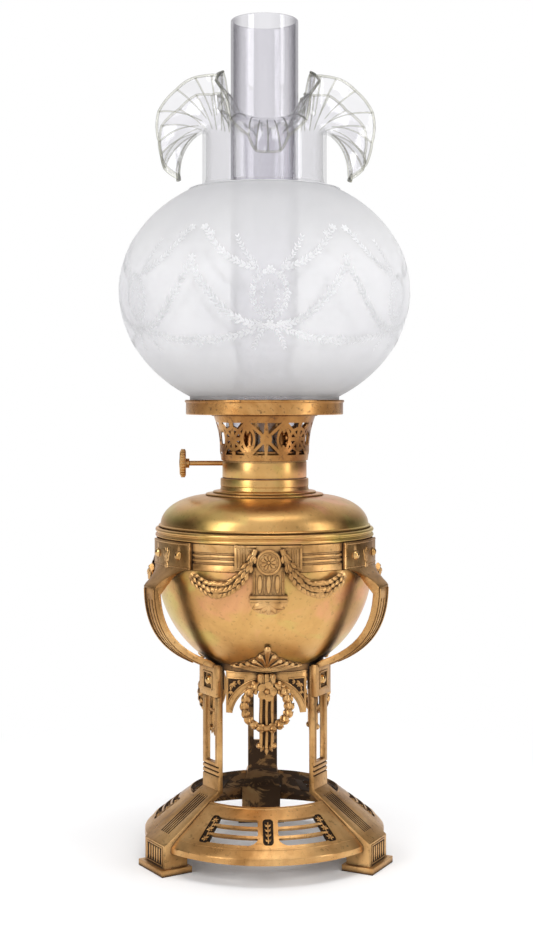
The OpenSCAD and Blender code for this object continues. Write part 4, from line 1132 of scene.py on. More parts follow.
# A nearly black plate behind the foot's reeds: painted shade between them
behind_reeds = bar((FOOT_FACE - 0.3, FOOT_FACE + 0.08), (-FRAME_HALF + 0.3, FRAME_HALF - 0.3),
                   (FRAME_LOW + 0.2, FRAME_TOP - 0.2), 0.05)
grounds("foot", [behind_reeds] + grooves, LEG_TURNS)


# %% Arms
PLATE_R = 75.5
PLATE_LOW = BAND_LOW + 0.5
PAD_Z = 120.1
PAD_FACE = 44.4
PAD_FRAME = 5.4
ARM_STUD_HALF = 10.4
STUD_Z = (BAND_LOW + BAND_TOP) / 2
ELBOW_Z = BOWL_Z - 10
ARM_CURVE = [(88.0, ELBOW_Z), (88.0, ELBOW_Z - 27), (77.0, 140.5), (44.5, 129.0)]


def along_curve(t, curve):
    s = 1 - t
    weights = (s ** 3, 3 * t * s * s, 3 * t * t * s, t ** 3)
    return tuple(sum(w * p[k] for w, p in zip(weights, curve)) for k in (0, 1))


def arm():
    parts = [unturned("arm_back", 90, 0.5)]
    path = [along_curve(0.02 + 0.9 * i / 30, ARM_CURVE) for i in range(31)]
    for y in (-6.3, 6.3):
        parts.append(swept([(r + 0.05, y, z) for r, z in path], 0.9, 0.45, 8, SIDEWAYS))
    for y in (-2.2, 2.2):
        parts.append(swept([(r + 0.02, y, z) for r, z in path[3:-3]], 0.5, 0.4, 6, SIDEWAYS))
    upwards = (-34, -12, 12, 34)
    point, out = on_drum(PLATE_R, 0, STUD_Z - 3.5, 0.05)
    spots = spray(point, out, upwards)
    spots += spray((point[0], 0, STUD_Z - 5.5), out, upwards, 0.8)
    spots += spray((point[0], 0, STUD_Z - 4.5), out, (-160, 180, 160), 0.8)
    parts.append(repeated(spots, leaf(8.2, 3.6, 0.8), 3, 0.05, 4))
    for z in (PLATE_LOW + 0.9, BAND_TOP - 0.9):
        edge_line = [on_drum(PLATE_R, a, z)[0] for a in np.linspace(-17.6, 17.6, 24)]
        parts.append(swept(edge_line, 0.5, 0.35))
    face, reach = (PAD_FACE - 0.2, PAD_FACE + 0.5), PAD_FRAME + 0.6
    for off in (-PAD_FRAME, PAD_FRAME):
        parts.append(bar(face, (off - 0.6, off + 0.6), (PAD_Z - reach, PAD_Z + reach), 0.3))
        parts.append(bar(face, (-reach, reach), (PAD_Z + off - 0.6, PAD_Z + off + 0.6), 0.3))
    return joined(*parts)


three("arm", arm, cast_brass, LEG_TURNS)


# %% Studs and nuts
def dome(radius, height, rings=5, sides=20):
    """A stud's domed head with a small collar under it, standing on +Z."""
    outline = [(0.0, 0.0), (radius, 0.0), (radius, 0.25)]
    outline += oval(0, 0.25, radius * 0.92, height - 0.25, 4, 89, rings)
    outline.append((0.0, height))
    return turned(outline, sides)


UPRIGHT = ((0, 0, 1), 1.0)  # along and size of a spot whose shape is round
leg_spots = [(*on_drum(43.35, degrees, 120.08), *UPRIGHT) for degrees in LEG_TURNS.values()]
arm_spots = [(*on_drum(PLATE_R + 0.05, degrees + half, STUD_Z), *UPRIGHT)
             for degrees in LEG_TURNS.values() for half in (-ARM_STUD_HALF, ARM_STUD_HALF)]
leg_heads = repeated(leg_spots, dome(3.5, 2.7), finish=stud_brass)
arm_heads = repeated(arm_spots, dome(3.0, 2.3), finish=stud_brass)
finish_piece("leg_stud_heads", leg_heads, stud_brass, "stand", angle=50)
finish_piece("arm_stud_heads", arm_heads, stud_brass, "stand", angle=50)


# %% [markdown]
# ## Base ring, arches and palmettes
#
# The base ring is a sloping sheet with windows, each crossed by two thin
# bars, and with a dark floral panel at its end. A pierced sheet is easiest as
# a drawing in numbers: `base_metal` says how far inside the metal a spot lies,
# and is negative in a window. `pierced` lays a grid over it and clips it where
# the number is zero. The arches are castings, bent a little. The palmettes
# are plates that lean on the bowl and carry eleven raised petals with a knob
# at each tip.

# %% Base ring: where things are
BASE_SLOPE = 0.739
BASE_FACE = [(50.0, KNEE_Z - 5.4), (68.0, KNEE_Z - 18.7), (75.0, KNEE_Z - 24.3), (80.0, KNEE_Z - 29.4),
             (80.9, KNEE_Z - 30.4), (81.0, low_of("base_front"))]
BASE_SHEET = 2.2
WINDOW_IN = 58.3
WINDOW_OUT = 73.9
WINDOW_BAR = 1.5
WINDOW_HALF = 31.5
PANEL_HALF = 36.6
POST_HALF = 6.5
ROW = (WINDOW_OUT - WINDOW_IN - 2 * WINDOW_BAR) / 3
WALKED = [0.0]
for (r0, z0), (r1, z1) in zip(BASE_FACE, BASE_FACE[1:]):
    WALKED.append(WALKED[-1] + math.hypot(r1 - r0, z1 - z0))


def on_face(v):
    """(radius, height) at a share v of the way down the ring's face."""
    walked = v * WALKED[-1]
    return (float(np.interp(walked, WALKED, [p[0] for p in BASE_FACE])),
            float(np.interp(walked, WALKED, [p[1] for p in BASE_FACE])))


print("base face is", round(WALKED[-1], 1), "mm from edge to edge")


# %% Base ring: angles and outward directions
def free_angle(r):
    """Half of the angle between two feet, in degrees, at a radius."""
    reach = r
    for _ in range(3):
        half = float(np.interp(reach, [42.4, 67.5], [10.25, 13.75])) + 0.3
        reach = math.sqrt(r * r - half * half)
    return 60 - math.degrees(math.asin(half / r))


def on_base(r, degrees, lift=0.0):
    """(point, outwards) on the sloping face of the base ring."""
    a = math.radians(degrees)
    n = math.hypot(BASE_SLOPE, 1)
    out = (BASE_SLOPE / n * math.cos(a), BASE_SLOPE / n * math.sin(a), 1 / n)
    z = float(np.interp(r, [p[0] for p in BASE_FACE], [p[1] for p in BASE_FACE]))
    return (r * math.cos(a) + lift * out[0], r * math.sin(a) + lift * out[1], z + lift * out[2]), out


def up_the_slope(p):
    """Outwards and up, off the ring's face, for a rib that lies on it."""
    return p.x, p.y, 80


print("free between two feet:", round(2 * free_angle(WINDOW_OUT), 1), "degrees")


# %% Base ring: the drawing
def outside_box(x, y, x0, x1, y0, y1, corner):
    """Distance from a box with rounded corners, negative inside it."""
    dx = abs(x - (x0 + x1) / 2) - (x1 - x0) / 2 + corner
    dy = abs(y - (y0 + y1) / 2) - (y1 - y0) / 2 + corner
    return math.hypot(max(dx, 0), max(dy, 0)) + min(max(dx, dy), 0) - corner


def base_metal(u, v):
    r, z = on_face(v)
    angle = abs(2 * u - 1) * free_angle(r)
    side = r * math.radians(angle)
    end = r * math.radians(WINDOW_HALF)
    metal = 5.0
    for i in range(3):
        low = WINDOW_IN + i * (ROW + WINDOW_BAR)
        post = POST_HALF + (5.0 * max(0.0, (r - 69.6) / 4.3) ** 2 if i == 2 else 0.0)
        metal = min(metal, outside_box(side, r, post, end + 2, low, low + ROW, 0.8))
    panel = outside_box(side, r, end, r * math.radians(PANEL_HALF), WINDOW_IN - 0.8, WINDOW_OUT + 0.8, 1.6)
    return min(metal, panel, outside_box(side, r, -3.4, 3.4, WINDOW_IN - 0.6, WINDOW_OUT - 0.2, 2.2))


def on_sheet(u, v):
    r, z = on_face(v)
    a = math.radians((2 * u - 1) * free_angle(r))
    return r * math.cos(a), r * math.sin(a), z


print("metal at the middle post:", base_metal(0.5, 0.1) > 0, "in a window:", base_metal(0.7, 0.4) > 0)


# %% Base ring: sheet, bars and panel flowers
FLOWERS_AT = (60.4, 66.1, 71.8)
PANEL_MIDDLE = (WINDOW_HALF + PANEL_HALF) / 2


def base():
    parts = [pierced(base_metal, 260, 62, on_sheet, BASE_SHEET, ring=False)]
    spots, buttons = [], []
    for side in (-1, 1):
        middle = side * PANEL_MIDDLE
        for r in FLOWERS_AT:
            spots += spray(*on_base(r, middle, -0.4), range(0, 360, 60), 0.6)
            buttons.append((*on_base(r, middle, -0.2), *UPRIGHT))
        for r in (63.2, 69.0):
            spots += spray(*on_base(r, middle - side * 1.0, -0.4), (90, -90, 45, -45, 135, -135), 0.42)
    for r in (62.4, 65.4, 68.4, 71.4):
        spots += spray(*on_base(r, 0, -0.4), (-38, 0, 38), 0.72)
    parts.append(repeated(spots, leaf(4.4, 2.2, 0.8), 4, 0.06, 9))
    parts.append(repeated(buttons, bead(0.8, 0.9)))
    stalk = [on_base(r, 0, -0.3)[0] for r in np.linspace(59.6, 72.6, 12)]
    parts.append(swept(stalk, 0.45, 0.5, 6, up_the_slope))
    for side in (-1, 1):
        for i in (0, 1):  # the two bars run on across the edge of the dark panel
            r = WINDOW_IN + ROW + WINDOW_BAR / 2 + i * (ROW + WINDOW_BAR)
            line = [on_base(r, side * a, -0.7)[0] for a in np.linspace(WINDOW_HALF - 1, WINDOW_HALF + 2.6, 6)]
            parts.append(swept(line, 0.8, 0.8, 8, up_the_slope))
    for r, wide in ((51.0, 0.9), (76.0, 0.7)):
        edge = [on_base(r, a, -0.1)[0] for a in np.linspace(-free_angle(r) + 0.3, free_angle(r) - 0.3, 60)]
        parts.append(swept(edge, wide, 0.35, 8, up_the_slope))
    return joined(*parts)


three("base", base, cast_brass, BAY_TURNS)


# %% Base ring: dark panels
def base_panel(a0, a1, r0, r1):
    def place(u, v):
        point, out = on_base(r0 + (r1 - r0) * v, a0 + (a1 - a0) * u, -1.0)
        return point, out, 0.12 * math.sin(9 * u + 14 * v) * math.sin(11 * v)

    return carved(place, 10, 24, 0.8)


# A slight wave in the panels keeps their dark ground from looking machined
grounds("base", [
    base_panel(-3.4, 3.4, WINDOW_IN - 0.9, WINDOW_OUT + 0.1),
    base_panel(WINDOW_HALF - 0.4, PANEL_HALF + 0.4, WINDOW_IN - 1.1, WINDOW_OUT + 1.1),
    base_panel(-PANEL_HALF - 0.4, -WINDOW_HALF + 0.4, WINDOW_IN - 1.1, WINDOW_OUT + 1.1),
], BAY_TURNS)


# %% Arches
ARCH_R = 36.7
ARCH_BEND = 60.0
ARCH_HALF = 26.5
ARCH_TOP = top_of("arch_front")
ARCH_HOLE = 22.5
ARCH_HOLE_Z = ARCH_TOP - 8.8 - ARCH_HOLE
GROUND_IN = 14.6
GROUND_OUT = ARCH_HALF - 1.7
GROUND_TOP = ARCH_TOP - 5.4


def on_arch(y, z, lift=0.0):
    """(point, outwards) on the bent face of an arch bracket."""
    a = math.asin(y / ARCH_BEND)
    out = (math.cos(a), math.sin(a), 0.0)
    r = ARCH_BEND + lift
    return (ARCH_R - ARCH_BEND + r * out[0], r * out[1], z), out


print("arch spans", 2 * ARCH_HALF, "mm, opening", 2 * ARCH_HOLE, "mm")


# %% Arches: beads and corner leaves
# Sprays in each upper corner: (sideways, below the top, directions, size)
ARCH_SPRAYS = [(22.3, 8.3, (-100, -60, -140, 180, 140), 0.62), (19.0, 7.3, (-90, -50, -130), 0.5),
               (23.2, 13.4, (180, 140, -140, 0), 0.55)]


def arc_line(radius, limit, lift):
    """Points along a half circle round the arch's opening, inside its plate."""
    points = []
    for a in np.linspace(2, 178, 64):
        y = radius * math.cos(math.radians(a))
        z = ARCH_HOLE_Z + radius * math.sin(math.radians(a))
        if abs(y) < limit and z > ARCH_TOP - 27.4:
            points.append(on_arch(y, z, lift)[0])
    return points


def arch():
    parts = [unturned("arch_front", 270, 0.4)]
    for radius, wide, lift in ((ARCH_HOLE + 0.75, 0.6, 0.0), (ARCH_HOLE + 4.6, 0.5, 0.05)):
        parts.append(swept(arc_line(radius, ARCH_HALF - 0.6, lift), wide, 0.45))
    level = [(ARCH_TOP - 0.8, 0.0, ARCH_HALF - 0.4), (GROUND_TOP + 0.5, GROUND_IN, GROUND_OUT + 0.6)]
    for z, inner, outer in level:
        for side in (-1, 1):
            line = [on_arch(side * y, z, 0.05)[0] for y in np.linspace(inner, outer, 20)]
            parts.append(swept(line, 0.55, 0.4))
    spots = []
    for side in (-1, 1):
        upright = np.linspace(ARCH_TOP - 19.5, GROUND_TOP, 14)
        parts.append(swept([on_arch(side * (GROUND_OUT + 0.5), z, 0.05)[0] for z in upright], 0.5, 0.4))
        for y, below, degrees, size in ARCH_SPRAYS:
            spots += spray(*on_arch(side * y, ARCH_TOP - below, 0.15), [side * d for d in degrees], size)
    parts.append(repeated(spots, leaf(5.2, 2.8, 1.0), 4, 0.08, 12))
    return joined(*parts)


three("arch", arch, cast_brass, BAY_TURNS)


def arch_ground(side):
    def place(u, v):
        y = GROUND_IN + (GROUND_OUT - GROUND_IN) * u
        low = ARCH_HOLE_Z + math.sqrt(max(0.0, (ARCH_HOLE + 4.8) ** 2 - y * y))
        point, out = on_arch(side * y, low + (GROUND_TOP - low) * v, 0.1)
        return point, out, 0.0

    return carved(place, 12, 8, 0.4)


grounds("arch", [arch_ground(-1), arch_ground(1)], BAY_TURNS)


# %% Palmettes
PALM_LOW = ARCH_TOP + 0.2
PALM_TALL = 19.4
PALM_HALF = 23.5
PALM_IN = 40.4
PALM_T = 1.2


# Petals from the middle outwards: tip's sideways place, half width, knob's place and size
PETALS = [(0.0, 2.4, 0.0, 1.3), (4.2, 1.8, 4.3, 1.1), (8.1, 1.75, 8.1, 1.15),
          (12.2, 1.7, 12.2, 1.15), (16.3, 1.5, 16.3, 1.05), (20.4, 1.2, 20.6, 0.9)]


def palm_outline(y):
    """Height of the scalloped edge at a sideways distance, as in the CAD part."""
    share = y / PALM_HALF
    side = PALM_TALL * 0.38
    scallop = 0.9 * (1 - abs(math.cos(4.5 * math.pi * share)))
    return side * (1 - 0.45 * abs(share)) + (PALM_TALL - side) * math.exp(-abs(y) / 8.5) - scallop


def on_palm(y, z, lift=0.0):
    """(point, outwards) on a palmette's plate, which follows the bowl."""
    r = max(PALM_IN, bowl_at(z) + 0.5) + PALM_T
    steep = bowl_at(z + 0.5) - bowl_at(z - 0.5) if bowl_at(z) + 0.5 > PALM_IN else 0.0
    x = math.sqrt(r * r - y * y)
    n = r * math.hypot(1, steep)
    out = (x / n, y / n, -steep * r / n)
    return (x + lift * out[0], y + lift * out[1], z + lift * out[2]), out


def palm_petal(tip, fat):
    """One petal, a raised stem that grows to a rounded end at the outline."""
    tall = palm_outline(tip) - 1.6
    line = []
    for t in np.linspace(0.0, 1.0, 14):
        y = tip * (0.1 + 0.9 * t ** 1.25)
        line.append(on_palm(y, PALM_LOW + 1.2 + (tall - 1.2) * t ** 0.8, 0.25)[0])

    def width(t):
        rounded = 1 if t < 0.86 else math.sqrt(max(0.02, 1 - ((t - 0.86) / 0.15) ** 2))
        return fat * (0.35 + 0.65 * t ** 1.4) * rounded

    return swept(line, width, lambda t: 0.5 + 1.1 * t, 10, lambda p: (p.x, p.y, -14))


print("palmette is", round(palm_outline(0.0), 1), "mm tall in the middle")


# %% Palmettes: plate, petals and knobs


def palmette():
    def place(u, v):
        y = PALM_HALF * (2 * u - 1)
        low = 2.6 * (abs(y) / 20) ** 1.3
        point, out = on_palm(y, PALM_LOW + low + v * (palm_outline(y) - low))
        return point, out, 0.0

    parts = [carved(place, 108, 12, 1.0)]
    knobs = []
    for tip, fat, knob, size in PETALS:
        for side in ((-1, 1) if tip else (1,)):
            parts.append(palm_petal(side * tip, fat))
            knobs.append((*on_palm(side * knob, PALM_LOW + palm_outline(knob) - 1.5, 0.2), (0, 0, 1), size))
    parts.append(repeated(knobs, bead(1.8, 1.7, 12)))
    return joined(*parts)


three("palmette", palmette, relief_brass, BAY_TURNS, angle=50)


# %% [markdown]
# ## Wreaths
#
# Each wreath hangs from a folded ribbon under an open flower: a thick ring of
# broad laurel leaves, cast in one piece with its ribbons. The core is a plain
# ring, which stays dark between the leaves. They lie on it in rows of three,
# one in front and one over each edge, and climb both sides from the lowest
# spot to two roses under the bow. All come from the same few small shapes,
# which is how a pattern carver would stamp them in wax.

# %% Wreaths: places on the ring
WREATH_BACK = ARCH_R + 0.3
RING_X = WREATH_BACK + 3.2
ROSETTE_Z = ARCH_TOP - 10.4
RING_R = 14.4
RING_Z = ROSETTE_Z - RING_R + 2.8
RIBBON_L = 44.0


def on_ring(around, over=0.0, reach=0.0):
    """(point, outwards, along) on the wreath's core, angles in degrees."""
    a, b = math.radians(around), math.radians(over)
    radial = Vector((0, math.cos(a), math.sin(a)))
    out = radial * math.cos(b) + Vector(FORWARDS) * math.sin(b)
    along = Vector((0, -math.sin(a), math.cos(a)))
    return Vector((RING_X, 0, RING_Z)) + radial * RING_R + out * reach, out, along


print("wreath hangs from", round(RING_Z - RING_R, 1), "to", round(RING_Z + RING_R, 1))


# %% Wreaths: ring, leaves and roses
def wreath():
    core = [on_ring(a)[0] for a in np.linspace(0, 360, 65)]
    parts = [swept(core, 2.4, 2.4, 10, FORWARDS)]
    leaves, roses = [], []
    for side in (-1, 1):
        for k in range(8):
            around = -90 + side * (7 + 18.6 * k)
            for over, lean, size in ((88, 0, 1.0), (30, -16, 0.85), (150, 16, 0.85)):
                point, out, along = on_ring(around, over, 1.5)
                across = out.cross(along)
                c, s = math.cos(math.radians(lean)), math.sin(math.radians(lean))
                tipped = (out - along * (0.12 * side)).normalized()
                leaves.append((point, tipped, (along * c + across * s) * side, size * (0.86 + 0.03 * k)))
        point, out, along = on_ring(90 + side * 33, 80, 2.0)
        roses.append((point, out, along, 1.0))
    parts.append(repeated(leaves, leaf(6.4, 5.6, 2.4, 0.1), 7, 0.05, 21))
    parts.append(repeated(roses, flower(6, 4.3, 3.2, 1.4), 20, 0.05, 22))
    parts.append(repeated(roses, bead(1.6, 2.6, 12)))
    parts += hanging_flower()
    parts += ribbons()
    return joined(*parts)


BOW_TOP = ARCH_TOP - 0.3
FLOWER_Z = ROSETTE_Z - 1.4


def hanging_flower():
    """The folded ribbon at the top and the open flower under it."""
    loop_face = (WREATH_BACK, WREATH_BACK + 6.2)
    parts = [bar(loop_face, (-6.0, -1.2), (BOW_TOP - 9.4, BOW_TOP), 1.8),
             bar(loop_face, (1.2, 6.0), (BOW_TOP - 9.4, BOW_TOP), 1.8),
             bar((WREATH_BACK, WREATH_BACK + 7.0), (-1.7, 1.7), (BOW_TOP - 8.6, BOW_TOP - 0.2), 1.2)]
    for y in (-4.0, -2.6, 2.6, 4.0):
        fold = [(WREATH_BACK + 5.9, y * (1.0 - 0.25 * math.sin(math.pi * t)), BOW_TOP - 1.2 - 6.2 * t)
                for t in np.linspace(0, 1, 10)]
        parts.append(swept(fold, 0.5, 0.55, 8, FORWARDS))
    disc = turned([(0.0, 0.0), (3.6, 0.0), (4.0, 2.0), (3.2, 4.4), (0.0, 4.8)], 40)
    parts.append(facing_out(disc, WREATH_BACK + 2.4, 0, FLOWER_Z))
    parts.append(facing_out(flower(5, 6.4, 6.0, 0.9), WREATH_BACK + 6.9, 0, FLOWER_Z))
    parts.append(facing_out(bead(1.9, 2.2, 16), WREATH_BACK + 6.9, 0, FLOWER_Z))
    return parts


RIBBON_LOW = ROSETTE_Z - RIBBON_L
BALL_R = 2.1


def ribbons():
    """Three straight ribbons with a bar behind them, two balls and a pointed end."""
    parts = []
    for i in (-1, 0, 1):
        line = [(WREATH_BACK + 3.0, i * 3.7 + 0.15 * math.sin(t * 11 + i), ROSETTE_Z - (RIBBON_L - 5) * t)
                for t in np.linspace(0.06, 1, 20)]
        parts.append(swept(line, 1.2, 1.2, 10, FORWARDS))
    parts.append(bar((WREATH_BACK + 1.0, WREATH_BACK + 2.0), (-4.3, 4.3),
                     (RIBBON_LOW + 6, ROSETTE_Z - 3), 0.3))
    for side in (-1, 1):
        ball = turned([(0.0, -BALL_R)] + oval(0, 0, BALL_R, BALL_R, -80, 80, 10) + [(0.0, BALL_R)], 20)
        parts.append(facing_out(ball, WREATH_BACK + 2.6, side * 4.8, RIBBON_LOW + 6.6))
    for y, tilt, length in ((0.0, 0, 7.4), (-1.5, 24, 5.6), (1.5, -24, 5.6)):
        spot = spray((WREATH_BACK + 2.0, y, RIBBON_LOW + 7.4), FORWARDS, (180 + tilt,))
        parts.append(repeated(spot, leaf(length, 3.0, 1.7)))
    return parts


three("wreath", wreath, relief_brass, BAY_TURNS, angle=45)


# %% [markdown]
# ## Frieze, cartouches and garlands
#
# Between the arm plates the bowl's straight wall is covered by a reeded
# band. On it sits a cartouche with a shell in a ring, and from each side of
# that a laurel garland swings down over the bowl and up to the arm. The band
# is turned like the bowl. The garland follows the same path as in the CAD
# part, and carries its leaves in three rows that point to the lowest spot,
# where three larger petals hang.

# %% Frieze
BAND_H = BAND_TOP - BAND_LOW
FRIEZE_IN = WALL_R + 0.1
FRIEZE_HALF = 41.1


def frieze():
    outline = [(FRIEZE_IN, BAND_LOW), (BAND_R - 0.3, BAND_LOW), (BAND_R, BAND_LOW + 0.3)]
    for i in range(3):
        z = BAND_LOW + BAND_H * (0.25 + 0.18 * i)
        outline += [(BAND_R, z - 0.35), (BAND_R - 0.2, z), (BAND_R - 0.8, z + 0.35),
                    (BAND_R - 0.8, z + BAND_H * 0.07), (BAND_R - 0.15, z + BAND_H * 0.09),
                    (BAND_R, z + BAND_H * 0.11)]
    outline += [(BAND_R, BAND_TOP - 0.3), (BAND_R - 0.3, BAND_TOP), (FRIEZE_IN, BAND_TOP)]
    return turned(outline, 72, 2 * FRIEZE_HALF, -FRIEZE_HALF)


three("frieze", frieze, relief_brass, BAY_TURNS)


# %% Cartouches
PLAQUE_R = BAND_R + 1.5
BOSS_R = 8.0
BOSS_Z = BAND_TOP - BOSS_R - 2.4
BOSS_FACE = PLAQUE_R + 2.4
TONGUE_L = 27.0
TIP_Z = BAND_LOW - TONGUE_L
CAP_Z = BAND_LOW - TONGUE_L * 0.52
TONGUE = [(TIP_Z, PLAQUE_R - 4.2), (CAP_Z - 5.4, PLAQUE_R - 0.92), (CAP_Z - 0.01, PLAQUE_R - 0.29),
          (CAP_Z, PLAQUE_R - 1.29), (BAND_LOW, PLAQUE_R + 0.6), (BAND_TOP, PLAQUE_R + 0.6)]


def on_tongue(z):
    """Distance from the axis of the tongue's face, as in the CAD part."""
    return float(np.interp(z, [p[0] for p in TONGUE], [p[1] for p in TONGUE]))


print("tongue from", round(BAND_LOW, 1), "down to", round(TIP_Z, 1))


# %% Cartouches: reeds, boss and tongue
def flute_width(t):
    return 1.6 * math.sin(math.pi * (0.12 + 0.8 * t)) ** 0.5


REEDS_AT = (11.4, 12.8, 14.2, 15.6)
FAN = [(180, 0.86), (148, 0.92), (212, 0.92), (114, 1.08), (246, 1.08)]


def cartouche():
    parts = [unturned("cartouche_front", 270, 0.3)]
    reed = np.linspace(BAND_LOW + 3.4, BAND_TOP - 2.4, 8)
    for side in (-1, 1):
        for degrees in REEDS_AT:
            parts.append(swept([on_drum(PLAQUE_R, side * degrees, z)[0] for z in reed], 0.45, 0.45))
        for k in range(4):
            line = [on_drum(PLAQUE_R, side * (7.2 + 3.0 * t), BAND_LOW + 2.6 + 3.2 * k + 2.6 * t)[0]
                    for t in np.linspace(0, 1, 6)]
            parts.append(swept(line, 0.4, 0.4, 6))
        for z, start in ((BAND_LOW + 1.7, 0.5), (BAND_TOP - 0.9, 6.0)):
            line = [on_drum(PLAQUE_R, side * a, z)[0] for a in np.linspace(start, 16.3, 18)]
            parts.append(swept(line, 0.6, 0.5))
    for radius, wide in ((7.2, 0.8), (5.6, 0.45)):
        ring = turned([(radius - wide, 0.0)] + oval(radius, 0.0, wide, wide, 0, 180, 8), 48)
        parts.append(facing_out(ring, BOSS_FACE - 0.25, 0, BOSS_Z))
    parts.append(facing_out(flower(9, 5.0, 2.5, 0.9), BOSS_FACE, 0, BOSS_Z))
    for y in (-5.6, 0.0, 5.6):
        line = [(on_tongue(z) + 0.1, y, z) for z in np.linspace(BAND_LOW - 1.5, CAP_Z + 1.6, 10)]
        parts.append(swept(line, flute_width, 0.9, 10, FORWARDS))
    for y in (-8.9, -2.8, 2.8, 8.9):
        line = [(on_tongue(z) + 0.05, y, z) for z in np.linspace(BAND_LOW + 1.5, CAP_Z + 1.0, 10)]
        parts.append(swept(line, 0.5, 0.6, 8, FORWARDS))
    for z in (CAP_Z - 1.0, CAP_Z - 3.2):
        r = on_tongue(z)
        parts.append(bar((r - 0.8, r + 0.8), (-12.0, 12.0), (z - 0.8, z + 0.8), 0.4))
    root = (on_tongue(CAP_Z - 4.6) + 0.1, 0.0, CAP_Z - 4.2)
    spots = [spray(root, (1, 0, -0.42), (degrees,), size)[0] for degrees, size in FAN]
    parts.append(repeated(spots, leaf(10.4, 6.2, 1.8, 0.2)))
    return joined(*parts)


three("cartouche", cartouche, relief_brass, BAY_TURNS, angle=45)


# %% Garlands
GARLAND_T = 4.0
GARLAND_DIP = 0.4


def garland_spot(t):
    """Middle of the garland at a share t of its way from the arm to the boss."""
    side = 46.5 - 38.5 * t
    z = BAND_LOW - 10.8 + 53 * (t - GARLAND_DIP) ** 2 + 7 * (max(0, t - GARLAND_DIP) / 0.6) ** 5
    under = BAND_R + 1.8 if z > BAND_LOW - 1 else bowl_at(z) + 0.3 + 1.9 * max(0, (z - BAND_LOW + 18) / 17)
    a = math.asin(side / BOWL_R)
    r = under + GARLAND_T / 2
    return Vector((r * math.cos(a), r * math.sin(a), z))


def garland_width(t):
    return 2 + 2.9 * math.sin(math.pi * t ** 0.8) + 1.2 * (1 - t) ** 6


print("garland's lowest height:", round(garland_spot(GARLAND_DIP).z, 1))


# %% Garlands: core and leaves
def garland():
    shares = np.linspace(0.0, 1.0, 42)
    core = swept([tuple(garland_spot(t)) for t in shares], lambda t: 0.86 * garland_width(t), 1.55, 12)
    spots = []
    for t in np.linspace(0.03, 0.97, 17):
        middle = garland_spot(t)
        ahead = (garland_spot(t + 0.01) - garland_spot(t - 0.01)).normalized()
        if t > GARLAND_DIP:
            ahead = -ahead
        out = Vector((middle.x, middle.y, 0)).normalized()
        side = ahead.cross(out).normalized()
        for across, lean, size in ((-0.62, -20, 0.9), (0.0, 0, 1.0), (0.62, 20, 0.9)):
            spot = middle + side * (across * 0.8 * garland_width(t))
            spot += out * (1.35 * math.sqrt(1 - across * across))
            turn = math.radians(lean)
            along = ahead * math.cos(turn) + side * math.sin(turn)
            tipped = (out * 0.96 + side * (0.45 * across) - along * 0.2).normalized()
            spots.append((tuple(spot), tuple(tipped), tuple(along), size * (0.7 + 0.06 * garland_width(t))))
    low = garland_spot(GARLAND_DIP)
    out = Vector((low.x, low.y, 0)).normalized()
    spots += spray(tuple(low + out * 1.6), tuple(out), (152, 180, 208), 0.9)
    spots += spray(tuple(low + out * 1.9), tuple(out), (0, 60, -60, 120, -120, 180), 0.42)
    return joined(core, repeated(spots, leaf(6.6, 3.6, 1.15, 0.15), 8, 0.1, 31))


def mirrored(mesh):
    """The same mesh on the other side of y = 0."""
    copy = mesh.copy()
    for v in copy.vertices:
        v.co.y = -v.co.y
    copy.flip_normals()
    return copy


def garlands():
    one = garland()
    return joined(one, mirrored(one))


three("garlands", garlands, relief_brass, BAY_TURNS, angle=50)


# %% Support ring
# The support ring lies in the shade under the bowl; its darker brass is painted shade
finish_piece("support_ring_cast", softened("support_ring", 0.4), shaded_brass, "stand",
             ["support_ring"])


# %% [markdown]
# ## Burner and gallery
#
# The cup of the burner is spun, the wick tube and its parts stay as in the
# CAD model. The basket above it is sheet brass with a pierced pattern: round
# windows with a cross take turns with leaf-shaped ones between slanting
# bars. It is the same tool as for the base ring: `metal_at(u, h)` is the
# drawing, positive where metal is left, and `pierced` clips the sheet to it.

# %% Burner cup and knob
finish_piece("burner_cup_spun", softened("burner_cup", 0.25), spun_brass, "burner",
             ["burner_cup"])

knob_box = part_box("wick_knob")
KNOB_X = knob_box[0].x / MM
KNOB_Y = (knob_box[0].y + knob_box[1].y) / 2 / MM
KNOB_Z = (knob_box[0].z + knob_box[1].z) / 2 / MM
knob_rings = [softened("wick_knob", 0.25)]
for radius, wide in ((7.6, 0.5), (6.2, 0.3), (2.6, 0.8)):
    ring = turned([(radius - wide, -0.2)] + oval(radius, -0.2, wide, wide + 0.15, 0, 180, 8), 48)
    knob_rings.append(turned_to(facing_out(ring, -KNOB_X, -KNOB_Y, KNOB_Z), 180))
finish_piece("wick_knob_turned", joined(*knob_rings), burner_brass, "winder", ["wick_knob"])


# %% Pierced basket
BASKET_LOW = low_of("gallery_basket")
BASKET_TOP = top_of("gallery_basket")
BASKET_H = BASKET_TOP - BASKET_LOW
BASKET_R = 28.6
MOUTH_R = 34.0
BASKET_WALL = 0.8
BAYS = 8
DRAWN_AT = 30  # the pattern is drawn flat, as wide as the basket is at this radius
CORNERS = [(-1, -1), (-1, 1), (1, -1), (1, 1)]


def basket_at(h):
    """Radius of the basket at a height above its foot."""
    flare = max(0, (h - 6) / (BASKET_H - 6)) ** 2.2
    return BASKET_R + 0.9 * min(1, h / 6) + (MOUTH_R - BASKET_R - 0.9) * flare


def bar_at(x, y, x0, y0, x1, y1, half):
    """How far inside a bar of that half width a point lies."""
    dx, dy = x1 - x0, y1 - y0
    t = min(1, max(0, ((x - x0) * dx + (y - y0) * dy) / (dx * dx + dy * dy)))
    return half - math.hypot(x - x0 - t * dx, y - y0 - t * dy)


